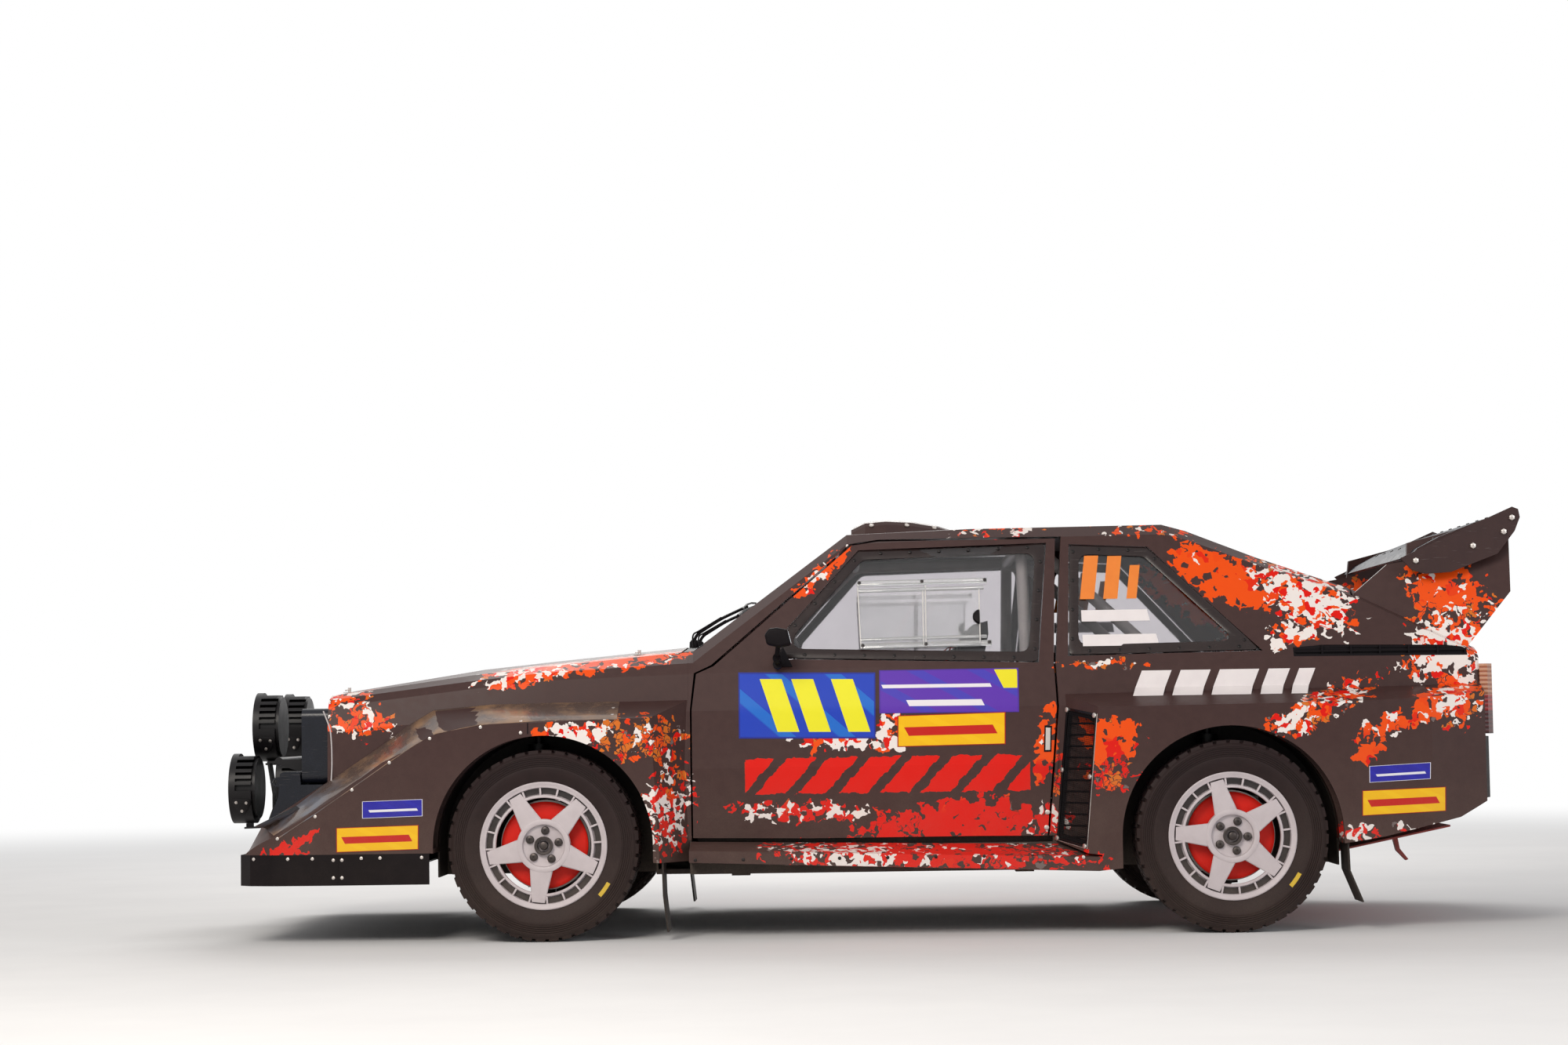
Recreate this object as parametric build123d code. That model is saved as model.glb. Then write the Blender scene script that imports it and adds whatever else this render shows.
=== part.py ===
from build123d import *
import math
import os

# A short-wheelbase rally coupe with wide arches, a high rear wing and four night lamps.
# Millimetres, +X forward, +Y to the car's left, +Z up. Lengths along X are measured from
# the middle of the wheelbase and every piece is moved by origin_ahead when it is saved,
# so that the origin lies on the floor below the middle of the overall length.

# Chassis
wheelbase = 2224
axle_height = 310
tyre_radius = 310
tyre_width = 215
wheel_centre_y = 812
kingpin_y = 775
rim_radius = 207
steer_angle = 25
front_axle = wheelbase / 2
rear_axle = -wheelbase / 2

# Body
half_body = 800
half_width = 930
side_wall = 42
top_wall = 28
sill_height = 318
rub_height = 550
crease_height = 738
belt_height = 872
roof_height = 1354
nose_x = 1830
tail_x = -1940
door_front = 632
door_gap = 6
arch_radius = 356
housing_y = 556
flare_wall = 15
cabin_floor = 222
floor_wall = 16
skirt_bottom = 192
skirt_top = 292

# Wing and fins
wing_half_span = 712
wing_leading = (-1745, 1208)
wing_trailing = (-2088, 1352)
wing_thickness = 26
end_plate = 8
fin_wall = 22

# Lamps
lamp_radius = 118
lamp_depth = 86
upper_lamp_y = 270
lower_lamp_y = 430

front_end = 2207
rear_end = -2103
origin_ahead = (front_end + rear_end) / 2
fit = 0.3


def outline(points):
    return Face(Wire.make_polygon([Vector(*point) for point in points], close=True))


def side_prism(points, y0, y1):
    """Extrude an outline seen from the side, given as (x, z)."""
    return Solid.extrude(outline([(x, y0, z) for x, z in points]), Vector(0, y1 - y0, 0))


def plan_prism(points, z0, z1):
    """Extrude an outline seen from above, given as (x, y)."""
    return Solid.extrude(outline([(x, y, z0) for x, y in points]), Vector(0, 0, z1 - z0))


def front_prism(points, x0, x1):
    """Extrude an outline seen from the front, given as (y, z)."""
    return Solid.extrude(outline([(x0, y, z) for y, z in points]), Vector(x1 - x0, 0, 0))


def block(x0, x1, y0, y1, z0, z1):
    box = Box(abs(x1 - x0), abs(y1 - y0), abs(z1 - z0))
    return Pos((x0 + x1) / 2, (y0 + y1) / 2, (z0 + z1) / 2) * box


def rod(start, end, radius):
    run = Vector(*end) - Vector(*start)
    return Solid.make_cylinder(radius, run.length, Plane(origin=start, z_dir=run))


def disc(x, y0, y1, z, radius):
    return rod((x, y0, z), (x, y1, z), radius)


def tube(points, radius, bend):
    path = FilletPolyline(*points, radius=bend)
    return sweep(Plane(path @ 0, z_dir=path % 0) * Circle(radius), path).solid()


def spin(profile, x, y, z):
    """Turn a profile given as (offset along Y, radius) about the axle at x, z."""
    face = outline([(x, y + across, z + radius) for across, radius in profile])
    return Solid.revolve(face, 360, Axis((x, 0, z), (0, 1, 0)))


def mirrored(shape):
    return shape.mirror(Plane.XZ)


def solids_of(shape):
    shapes = shape if isinstance(shape, (list, tuple)) else [shape]
    return [solid for item in shapes for solid in item.solids()]


def grow(points, by):
    """Move each side of a counter-clockwise outline outwards."""
    result = []
    for i, corner in enumerate(points):
        before = Vector(*corner) - Vector(*points[i - 1])
        after = Vector(*points[(i + 1) % len(points)]) - Vector(*corner)
        a = before.normalized()
        b = after.normalized()
        n1 = Vector(a.Y, -a.X)
        n2 = Vector(b.Y, -b.X)
        shift = (n1 + n2) * (by / (1 + n1.dot(n2)))
        result.append((corner[0] + shift.X, corner[1] + shift.Y))
    return result


def arch(x, radius, y0, y1):
    """Solid of a wheel opening, round above the hub and straight below it."""
    return disc(x, y0, y1, axle_height, radius) + block(x - radius, x + radius, y0, y1, 0, axle_height)


def largest(shape):
    return max(shape.solids(), key=lambda solid: solid.volume)


# Cross-sections of the body shell. Columns: x, then (y, z) of the bottom edge, the rub
# line, the crease, the belt, the shoulder, the upper edge and the flat of the crown.
side_y = half_body
sections = (
    (nose_x, (side_y - 10, 292), (side_y - 5, 520), (side_y - 10, 690), (side_y - 28, 768), (750, 792), (705, 806), (260, 824)),
    (1368, (side_y, 292), (side_y + 10, rub_height), (side_y + 1, 720), (side_y - 18, 820), (765, 846), (715, 866), (260, 893)),
    (front_axle, (side_y, 296), (side_y + 12, rub_height), (side_y + 2, crease_height - 3), (side_y - 14, 845),
     (770, 872), (722, 892), (260, 918)),
    (628, (side_y, sill_height), (side_y + 12, rub_height), (side_y + 2, crease_height), (side_y - 14, belt_height - 12),
     (765, 896), (700, 936), (260, 962)),
    (116, (side_y, sill_height), (side_y + 12, rub_height), (side_y + 2, crease_height), (side_y - 25, belt_height),
     (582, roof_height - 66), (535, roof_height - 32), (230, roof_height - 14)),
    (-300, (side_y, sill_height), (side_y + 12, rub_height), (side_y + 2, crease_height), (side_y - 22, belt_height),
     (590, roof_height - 54), (545, roof_height - 19), (230, roof_height)),
    (-941, (side_y, 312), (side_y + 12, rub_height), (side_y + 2, crease_height), (side_y - 24, belt_height + 2),
     (578, roof_height - 49), (530, roof_height - 14), (225, roof_height - 1)),
    (-1022, (side_y, 308), (side_y + 12, rub_height), (side_y + 2, crease_height), (side_y - 22, belt_height + 4),
     (575, roof_height - 69), (520, roof_height - 36), (220, roof_height - 24)),
    (-1254, (side_y, 300), (side_y + 12, rub_height), (side_y + 3, crease_height), (side_y - 16, belt_height + 12),
     (600, 1195), (540, 1224), (230, 1236)),
    (-1553, (side_y, 292), (side_y + 12, rub_height), (side_y + 4, crease_height), (side_y - 8, belt_height + 21),
     (672, 1085), (620, 1112), (250, 1124)),
    (-1903, (side_y, 385), (side_y + 6, rub_height), (side_y, crease_height), (side_y - 10, belt_height + 13),
     (772, 905), (720, 925), (260, 940)),
    (tail_x, (side_y - 10, 415), (side_y - 4, rub_height), (side_y - 10, crease_height), (side_y - 20, belt_height + 3),
     (760, 893), (712, 908), (250, 922)),
)


def shell_at(side, top, end):
    """Loft the body with its sides and top moved inwards and its two ends cut short."""
    wires = []
    for index, (x, *row) in enumerate(sections):
        if index == 0:
            x -= end
        if index == len(sections) - 1:
            x += end
        bottom, rub, crease, belt, shoulder, edge, crown = row
        half = [
            (bottom[0] - side, bottom[1] - 3 * side),
            (rub[0] - side, rub[1]),
            (crease[0] - side, crease[1]),
            (belt[0] - side, belt[1] - top / 3),
            (shoulder[0] - side, shoulder[1] - top / 2),
            (edge[0] - 0.7 * side, edge[1] - top),
            (crown[0], crown[1] - top),
        ]
        other = [(-y, z) for y, z in reversed(half)]
        wires.append(Wire.make_polygon([Vector(x, y, z) for y, z in half + other], close=True))
    return Solid.make_loft(wires, ruled=True)


end_wall = 30
glass_depth = 6
glass_wall = 5
body_solid = shell_at(0, 0, 0)
body_shell = body_solid - shell_at(side_wall, top_wall, end_wall)
open_shell = body_solid - shell_at(side_wall, top_wall, -end_wall)
glass_layer = (shell_at(glass_depth, glass_depth, 0)
               - shell_at(glass_depth + glass_wall, glass_depth + glass_wall, -end_wall))

door_lip = 515

# Side outlines (x, z) of the openings, all counter-clockwise seen from the car's left
door_outline = [
    (-522, 306), (-562, crease_height), (-556, belt_height + 2), (-580, roof_height - 58),
    (10, roof_height - 58), (100, roof_height - 71), (560, 884), (door_front - 15, 859),
    (door_front, 741), (door_front, 324),
]
door_opening = [
    (-529, 299), (-569, crease_height), (-563, belt_height + 2), (-600, roof_height - 51),
    (12, roof_height - 51), (106, roof_height - 65), (568, 888), (door_front - 8, 862),
    (door_front + door_gap, 742), (door_front + door_gap, 317),
]
door_window_outline = [(-507, 880), (-550, 1282), (78, 1267), (315, 1010), (367, 905)]
quarter_outline = [(-1240, 908), (-887, 1263), (-625, 1276), (-604, 900)]
screen_plan = [(146, 512), (596, 664), (596, -664), (146, -512)]
rear_plan = [(-1516, 560), (-1044, 486), (-1044, -486), (-1516, -560)]
roof_plan = [rear_plan[1], screen_plan[0], screen_plan[3], rear_plan[2]]
hood_rear = 670
lid_front = -1556
hinge_gap = 8

top_cut = (600, 1500)
screen_cut = plan_prism(screen_plan, *top_cut)
rear_cut = plan_prism(rear_plan, *top_cut)
roof_cut = plan_prism(roof_plan, 1280, 1500)
lid_side = [(lid_front, 1060), (lid_front, 1250), (-1990, 1250), (-1990, 872), (-1903, 880)]
lid_plan = [(lid_front, 662), (-1990, 777), (-1990, -777), (lid_front, -662)]
gutter_wall = 12


def left_half(shape):
    return shape & block(-2300, 2300, 0, 1000, 0, 1600)


fender_rear = door_front + 2 * door_gap

# Plan outline of the nose and the tail, which the flares and the skirt follow
nose_plan = [(1480, half_width), (1776, half_width - 4), (1990, 908), (2070, 880), (2108, 840)]
front_plan = [(2108, 0)] + nose_plan[::-1] + [(600, half_width), (600, 0)]
tail_plan = [(-500, 0), (-500, half_width), (-1500, half_width - 5), (-1760, 905), (tail_x, 862), (tail_x, 0)]


def duct_x(y, z):
    """Plane of the duct mouth ahead of the rear wheel, which leans in towards the door."""
    return -590 - 0.76 * (y - half_body + 5) - 0.0953 * (z - 775)


# Flares, each between an inner outline on the body side and an outer one: (x, z)
front_inner = [
    (fender_rear, 775), (fender_rear, 250), (1480, skirt_top), (2096, skirt_top), (2043, 388), (1752, 574),
    (1562, 706), (1478, 754), (1292, 769),
]
front_outer = [
    (760, 719), (735, 250), (1480, skirt_top), (2088, skirt_top), (1969, 348), (1603, 593),
    (1472, 671), (1396, 690), (1326, 704),
]
rear_inner = [
    (duct_x(half_body - 5, 775), 775), (tail_x, 790), (tail_x, 415), (-1850, 360), (-1600, 302), (-1474, 283),
    (-690, 206), (-690, 290), (duct_x(half_body - 5, 303), 303),
]
rear_outer = [
    (duct_x(half_width, 731), 731), (tail_x, 738), (tail_x, 405), (-1850, 360), (-1600, 302),
    (-1474, 283), (-690, 206), (-690, 256), (duct_x(half_width, 262), 262),
]


def flare(inner, outer, plan):
    """Hollow wide arch between the body side and the car's full width."""
    def layer(points_in, points_out, y0, y1):
        near = Wire.make_polygon([Vector(x, y0, z) for x, z in points_in], close=True)
        far = Wire.make_polygon([Vector(x, y1, z) for x, z in points_out], close=True)
        return Solid.make_loft([near, far], ruled=True)

    y_in = half_body - 5
    skin = layer(inner, outer, y_in, half_width)
    hollow = layer(grow(inner, -flare_wall), grow(outer, -flare_wall), y_in + flare_wall, half_width - flare_wall)
    return (skin & plan_prism(plan, 0, 1000)) - (hollow & plan_prism(grow(plan, -flare_wall), 0, 1000))


fender_edge = 704


def fender():
    left = open_shell & block(fender_rear, nose_x, fender_edge, 1000, 200, 1000)
    left += flare(front_inner, front_outer, front_plan)
    left += gutter(block(hood_rear + 30, nose_x - 40, fender_edge - 40, fender_edge + 12, 600, 1000),
                   block(hood_rear + 30, nose_x - 40, fender_edge + 2, fender_edge + 12, 600, 1000))
    left -= arch(front_axle, arch_radius, housing_y, 1000)
    return left


def gutter(reach, root):
    """Flange that carries the edge of a lid, just below its inner face."""
    below = shell_at(side_wall + fit, top_wall + fit, -end_wall)
    deeper = shell_at(side_wall + gutter_wall, top_wall + gutter_wall, -2 * end_wall)
    above = shell_at(side_wall / 2, top_wall / 2, 0)
    return ((below - deeper) & reach) + ((above - deeper) & root)


def duct_wire(share, back):
    """Outline of the duct mouth, drawn in towards its middle and moved back."""
    low, high = 262, 731
    y0, y1 = half_body + 4, half_width - 4
    corners = [Vector(duct_x(y, z), y, z) for y, z in ((y0, high), (y0, low + 40), (y1, low + 14), (y1, high - 22))]
    middle = (corners[0] + corners[1] + corners[2] + corners[3]) * 0.25
    return Wire.make_polygon([middle + (c - middle) * share - Vector(back, 0, 0) for c in corners], close=True)


def duct_slab(share, back, depth):
    return Solid.make_loft([duct_wire(share, back), duct_wire(share, back + depth)], ruled=True)


louvre_front = -1339
louvre_rear = -1903
louvre_low = 887
louvre_high = 925


def louvre_block(inset, depth):
    """Slot of the side louvre, let into the shoulder of the quarter panel."""
    points = [(louvre_front - inset, louvre_low + inset), (louvre_front - inset, louvre_high - inset),
              (louvre_rear + inset, louvre_high - 8 - inset), (louvre_rear + inset, louvre_low - 4 + inset)]
    return side_prism(points, half_body - depth, half_body)


def lid_strip(inner, outer):
    """Upright strip along the left edge of the boot lid."""
    (x0, y0), (x1, y1) = lid_plan[:2]
    return plan_prism([(x0, y0 + inner), (x0, y0 + outer), (x1, y1 + outer), (x1, y1 + inner)], 0, 1500)


def body_side():
    """Left pillars, roof rail, quarter panel with its wide arch, and half of the tail wall."""
    left = left_half(body_shell) - block(fender_rear - fit, 2300, 0, 1000, 0, 1600)
    left -= side_prism(door_opening, door_lip, 1000)
    left -= side_prism(quarter_outline, 400, 1000)
    left -= screen_cut
    left -= rear_cut
    left -= roof_cut
    left -= block(596, 700, 0, 700, 600, 1100)
    lid_hole = side_prism(grow(lid_side, hinge_gap), -1000, 1000)
    left -= lid_hole & plan_prism(grow(lid_plan, hinge_gap), 0, 1500)
    reach = block(-1890, lid_front - 14, 0, 1000, 850, 1500)
    left += gutter(lid_strip(-30, 24) & reach, lid_strip(12, 24) & reach)
    left += flare(rear_inner, rear_outer, tail_plan)
    left -= arch(rear_axle, arch_radius, housing_y, 1000)
    left -= duct_slab(1, -20, 60)
    left -= louvre_block(0, 34)
    return left


def side_ducts():
    """Duct grilles ahead of the rear wheels and louvres behind the quarter windows."""
    grille = duct_slab(1, 3, 12) - duct_slab(0.9, -20, 60)
    for i in range(1, 12):
        height = 262 + 14 + (731 - 262 - 30) * i / 12
        y0, y1 = half_body + 10, half_width - 10
        grille += rod((duct_x(y0, height) - 9, y0, height), (duct_x(y1, height) - 9, y1, height), 3.5)
    frame = (louvre_block(0, 34) - louvre_block(7, 30)) & shell_at(2, 2, 0)
    slat_middle = (louvre_low + louvre_high) / 2 - 3
    frame += block(louvre_rear + 5, louvre_front - 5, half_body - 33, half_body - 22, slat_middle - 3, slat_middle + 3)
    for i in range(1, 6):
        x = louvre_front + (louvre_rear - louvre_front) * i / 6
        frame += block(x - 3, x + 3, half_body - 33, half_body - 20, louvre_low, louvre_high) & louvre_block(1, 33.5)
    parts = solids_of([grille, frame])
    return parts + [mirrored(part) for part in parts]


def hood():
    half = fender_edge - door_gap
    return open_shell & block(hood_rear, nose_x - door_gap, -half, half, 690, 1000)


def boot_lid():
    """Sloping lid that carries the two fins, cut to the underside of the wing."""
    lid = body_shell & side_prism(lid_side, -1000, 1000) & plan_prism(lid_plan, 0, 1500)
    fin = [(lid_front - 2, 1092), (-1903, 900), (-2065, 1091), (-2078, 1345), (-1745, 1260), (-1740, 1199), (-1675, 1189)]

    def lean(x, z):
        return 650 - 0.117 * (x + 1553) - 0.292 * (z - 1100)

    face = outline([(x, lean(x, z), z) for x, z in fin])
    lower = largest(Solid.extrude(face, Vector(0, -fin_wall, 0)) - side_prism(wing_section(fit), -1000, 1000))
    lid += lower
    lid += mirrored(lower)
    return lid


def wing_section(grown=0):
    """Cambered section of the wing, from its leading to its trailing edge."""
    run = Vector(*wing_trailing) - Vector(*wing_leading)
    along = run.normalized()
    up = Vector(along.Y, -along.X)
    shares = ((0, 0.25), (0.08, 0.75), (0.3, 1), (0.7, 0.8), (1, 0.3), (1, 0), (0.7, 0), (0.3, -0.1), (0.05, -0.1))
    points = []
    for share, rise in shares:
        point = Vector(*wing_leading) + run * share + up * (rise * wing_thickness)
        points.append((point.X, point.Y))
    return points if grown == 0 else grow(points, grown)


def wing():
    plane = side_prism(wing_section(), -wing_half_span + end_plate, wing_half_span - end_plate)
    plate = [(-1707, 1206), (-1745, 1166), (-1790, 1153), (-1873, 1158), (-2027, 1216), (-2085, 1290),
             (-2103, 1335), (-2098, 1362), (-2078, 1370), (-1818, 1256)]
    for side in (-1, 1):
        plane += side_prism(plate, side * (wing_half_span - end_plate), side * wing_half_span)
    return plane


# Stations of the roof scoop. Columns: x, half width and height of its top
scoop_stations = (
    (100, 178, 1366),
    (52, 190, 1388),
    (-20, 186, 1394),
    (-110, 160, 1390),
    (-200, 118, 1376),
    (-285, 62, 1352),
)
scoop_wall = 8


def scoop_form(wall, ahead):
    """Rounded teardrop on the roof, drawn in by its wall."""
    wires = []
    for index, (x, half, top) in enumerate(scoop_stations):
        if index == 0:
            x += ahead
        width, crown = half - wall, top - wall
        right = [(width + 12, 1300), (width, crown - 18), (width - 14, crown - 6), (width - 40, crown)]
        ring = right + [(-y, z) for y, z in reversed(right)]
        wires.append(Wire.make_polygon([Vector(x, y, z) for y, z in ring], close=True))
    return Solid.make_loft(wires, ruled=True)


def roof_scoop():
    return scoop_form(0, 0) - (scoop_form(scoop_wall, 40) & block(-150, 200, -400, 400, 1300, 1400)) - body_solid


def door():
    left = body_shell & side_prism(door_outline, door_lip + 15, 1000)
    return left - side_prism(door_window_outline, 400, 1000)


def door_window():
    return glass_layer & side_prism(door_window_outline, 400, 1000)


def body_glass():
    panes = [glass_layer & screen_cut, glass_layer & rear_cut]
    quarter = glass_layer & side_prism(quarter_outline, 400, 1000)
    return panes + [quarter, mirrored(quarter)]


nose_front = 1918
nose_low = 518
nose_high = 765
lens_inner = 500
lens_outer = 745


def nose_panel():
    wall = shell_at(side_wall + 2, top_wall + 8, 0) & block(nose_x - end_wall, nose_x, -1000, 1000, skirt_top, 900)
    wall -= block(nose_x - 40, nose_x + 10, -440, 440, 330, 740)
    height = nose_high - nose_low
    housing = extrude(Plane.YZ.offset(nose_x) * Pos(0, nose_low + height / 2) * RectangleRounded(1550, height, 28),
                      nose_front - nose_x)
    housing -= block(nose_x - 10, nose_front + 10, -450, 450, nose_low + 26, nose_high - 26)
    for side in (-1, 1):
        housing -= block(nose_front - 30, nose_front + 10, side * lens_inner, side * lens_outer,
                         nose_low + 26, nose_high - 26)
    for i in range(1, 7):
        z = nose_low + 26 + (height - 52) * i / 7
        housing += block(nose_front - 40, nose_front - 16, -452, 452, z - 4, z + 4)
    return wall + housing


def headlamps():
    pair = []
    for side in (-1, 1):
        pair.append(block(nose_front - 30, nose_front - 3, side * lens_inner, side * lens_outer,
                          nose_low + 26, nose_high - 26))
    return pair


def front_bumper():
    profile = [(nose_x, skirt_top), (2072, skirt_top), (1998, 480), (1992, 552), (1980, 558),
               (nose_front + 5, 558), (nose_front + 2, nose_low - 2), (nose_x, nose_low - 2)]
    bumper = side_prism(profile, -half_body + 8, half_body - 8)
    bumper &= plan_prism([(nose_x, 792), (1900, 792), (2080, 740), (2080, -740), (1900, -792), (nose_x, -792)], 0, 1000)
    bumper -= block(1880, 2100, -430, 430, 350, 470)
    for side in (-1, 1):
        bumper -= block(1940, 2100, side * 500, side * 720, 350, 460)
        bumper += block(1950, 1975, side * 499, side * 721, 402, 410)
        eye = side_prism([(1990, 500), (2046, 508), (2060, 522), (2046, 536), (1990, 544)], side * 566, side * 578)
        bumper += eye - disc(2044, side * 560, side * 584, 522, 8)
    for z in (380, 410, 440):
        bumper += block(1900, 1930, -431, 431, z - 4, z + 4)
    return bumper


def splitter():
    """Skirt round the nose with a flat tray inside its lower edge."""
    wall = 6
    outer = nose_plan + [(x, -y) for x, y in reversed(nose_plan)]
    inner = [(nose_plan[0][0] - 50, half_width - wall)] + [(x - wall, y - wall) for x, y in nose_plan[1:]]
    inner = inner + [(x, -y) for x, y in reversed(inner)]
    skirt = plan_prism(outer, skirt_bottom, skirt_top) - plan_prism(inner, skirt_bottom - 1, skirt_top + 1)
    tray = plan_prism(outer, skirt_bottom, skirt_bottom + wall) & block(1700, 2200, -1000, 1000, 0, 400)
    return skirt + tray


def sill_boards():
    rear, front = -690, 640

    def station(x, top, lip, low):
        inner = half_body - 5
        return Wire.make_polygon([Vector(x, y, z) for y, z in (
            (inner, top), (half_width, lip), (half_width, low), (inner, low - 8))], close=True)

    left = Solid.make_loft([station(rear, 286, 249, 206), station(front, 312, 288, 250)], ruled=True)
    left = largest(left - flare(rear_inner, rear_outer, tail_plan))
    return [left, mirrored(left)]


def rear_bumper():
    plan = [(tail_x, 850), (-1962, 800), (-1984, 560), (-1990, 300), (-1990, -300), (-1984, -560),
            (-1962, -800), (tail_x, -850)]
    cover = plan_prism(plan, 420, 618)
    cover -= block(-2000, -1950, -260, 260, 470, 585)
    eye = side_prism([(-1980, 440), (-2030, 446), (-2044, 460), (-2030, 474), (-1980, 480)], -566, -578)
    return cover + (eye - disc(-2028, -560, -584, 460, 8))


def tail_lamps():
    left = plan_prism([(tail_x, 540), (tail_x, 792), (-1966, 788), (-1986, 760), (-1988, 540)], 626, 854)
    panel = block(-1958, tail_x, -530, 530, 640, 846)
    return [left, mirrored(left), panel]


def undertray():
    seat = cabin_floor - floor_wall - fit
    top = [(-700, seat), (-757, seat), (-1340, 212), (-1880, 322)]
    band = top + [(x, z - 6) for x, z in reversed(top)]
    tray = side_prism(band, -375, 375) + (side_prism(band, -535, 535) & block(-2000, -1345, -600, 600, 0, 400))
    strap = side_prism([(-1722, 288), (-1736, 230), (-1768, 196), (-1776, 200), (-1748, 236), (-1738, 292)], 286, 316)
    return [tray, strap - tray]


def wheel_house(x):
    """Thin inner arch over a wheel, with a window for the arms and the shaft."""
    house = arch(x, arch_radius + house_wall, housing_y - house_wall, half_body - side_wall - fit)
    house -= arch(x, arch_radius, housing_y, 1000)
    house -= block(x - 130, x + 130, housing_y - 20, housing_y + 20, 100, 480)
    return house & block(x - 500, x + 500, 0, 1000, cabin_floor - floor_wall, 1000)


def tunnel_prism(grown, x0, x1):
    points = [(-130, 0), (130, 0), (130, 374), (94, 400), (-94, 400), (-130, 374)]
    return front_prism(grow(points, grown), x0, x1)


rack_x = front_axle - 80
rack_z = 230
rack_radius = 14
house_wall = 6
rail_inner = 380
rail_outer = 450
frame_inner = 300
boot_floor = 400


def floor_pan():
    """Floor with tunnel, sills, raised rear floor, wheel houses, front rails and arm mounts."""
    low = cabin_floor - floor_wall
    front = front_axle - arch_radius
    rear = rear_axle + arch_radius
    pan = block(rear, front, -756, 756, low, cabin_floor)
    pan += tunnel_prism(16, rear, 640) & block(-2000, 2000, -500, 500, low, 1000)
    pan -= tunnel_prism(0, rear - 50, 640)
    kick = [(rear, low), (-790, 440), (-1440, 440), (-1500, boot_floor), (tail_x + end_wall, boot_floor)]
    band = kick + [(x, z + floor_wall) for x, z in reversed(kick)]
    pan += side_prism(band, -housing_y + house_wall, housing_y - house_wall) - tunnel_prism(0, -900, -700)
    seal = block(-440, 600, 750, half_body, sill_height + 8, sill_height + 22)
    seal &= shell_at(side_wall + fit, top_wall, 0)
    pan = pan + seal + mirrored(seal)
    for side in (-1, 1):
        pan += block(-700, 620, side * 722, side * 752, low, sill_height + 22)
        pan += block(-700, fender_rear - fit, side * 738, side * (half_body - 5), low, 296)
        pan += block(door_front + door_gap, fender_rear - fit, side * 745, side * (half_body - 5), 290, 317)
        pan += block(-700, -540, side * 745, side * (half_body - 5), 290, 314)
        pan += block(640, nose_x - end_wall, side * rail_inner, side * rail_outer, 340, 420)
        pan += side_prism([(600, low), (640, 340), (640, 420), (560, cabin_floor), (560, low)],
                          side * rail_inner, side * rail_outer)
        pan += block(rear_axle - 70, rear_axle + 70, side * rail_inner, side * rail_outer, 340, 440)
        for axle, bottom in ((front_axle, 182), (rear_axle, 214)):
            mount = block(axle - 108, axle + 108, side * frame_inner, side * (rail_inner + 1), bottom, 342)
            mount -= disc(axle, side * 290, side * 400, axle_height, 24)
            if axle == front_axle:
                mount -= disc(rack_x, side * 290, side * 400, rack_z, rack_radius + fit)
            pan += mount
            house = wheel_house(axle)
            pan += house if side > 0 else mirrored(house)
        for x in (-450, 480):
            pan += block(x - 30, x + 30, side * 690, side * 750, low - 8, low)
    return pan


def dashboard():
    bulkhead = block(640, 652, -735, 735, cabin_floor, 900) - block(600, 700, -150, 150, 0, 430)
    bulkhead &= shell_at(side_wall + fit, top_wall + fit, 0)
    for side in (-1, 1):
        bulkhead -= block(600, 700, side * (rail_inner - fit), side * (rail_outer + fit), 200, 420 + fit)
    top = side_prism([(640, 880), (470, 872), (418, 842), (430, 745), (640, 690)], -640, 640)
    top -= rod(column_point(140), column_point(300), column_radius + fit)
    cowl = open_shell & block(596 + fit, hood_rear - hinge_gap, -700 + fit, 700 - fit, 800, 1000)
    return [bulkhead + top, cowl]


wheel_hub = Vector(250, 360, 832)
column_run = Vector(250, 0, -100).normalized()
column_radius = 12
column_length = 270


def column_point(along):
    return tuple(wheel_hub + column_run * along)


def roll_cage():
    radius = 20
    hoop_x, hoop_y, hoop_z = -470, 500, 1270
    hoop = tube([(hoop_x, -700, 222), (hoop_x, -700, 860), (hoop_x, -hoop_y, hoop_z),
                 (hoop_x, hoop_y, hoop_z), (hoop_x, 700, 860), (hoop_x, 700, 222)], radius, 90)
    cage = hoop
    for side in (-1, 1):
        leg = tube([(566, side * 700, 222), (566, side * 700, 820), (90, side * 490, 1258),
                    (hoop_x, side * hoop_y, hoop_z - 4)], radius, 80)
        stay = tube([(hoop_x, side * 470, 1262), (-560, side * 470, 1240), (-1150, side * 500, 690),
                     (-1150, side * 500, 440 + floor_wall)], radius, 60)
        cage += leg
        cage += stay
        cage += rod((566, side * 700, 330), (hoop_x, side * 700, 640), 18)
        cage += rod((566, side * 700, 640), (hoop_x, side * 700, 330), 18)
        cage += rod((hoop_x, side * 660, 930), (hoop_x, -side * 655, 260), 18)
    cage += rod((90, -490, 1258), (90, 490, 1258), 18)
    return cage


seat_inner = 150
seat_outer = 590


def seats():
    """Two bucket shells with side wings, each on a foot on the floor."""
    shell = side_prism([(190, 300), (200, 372), (-130, 330), (-300, 1010), (-350, 1024), (-352, 980),
                        (-205, 300), (-150, 268)], seat_inner, seat_outer)
    side_wing = [(195, 340), (160, 470), (-60, 520), (-140, 620), (-190, 820), (-300, 1000), (-190, 330)]
    shell += side_prism(side_wing, seat_inner, seat_inner + 32)
    shell += side_prism(side_wing, seat_outer - 32, seat_outer)
    shell += block(-180, 150, seat_inner + 60, seat_outer - 60, cabin_floor, 300)
    return [shell, mirrored(shell)]


drive_inner = 162


def engine_block():
    engine = block(1190, 1700, -180, 180, 320, 740)
    gearbox = block(660, 1190, -120, 120, 250, 420)
    gearbox += block(front_axle - 110, front_axle + 110, -drive_inner, drive_inner, 250, 400)
    mounts = block(1400, 1460, -rail_inner, rail_inner, 340, 400)
    return engine + gearbox + mounts


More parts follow.
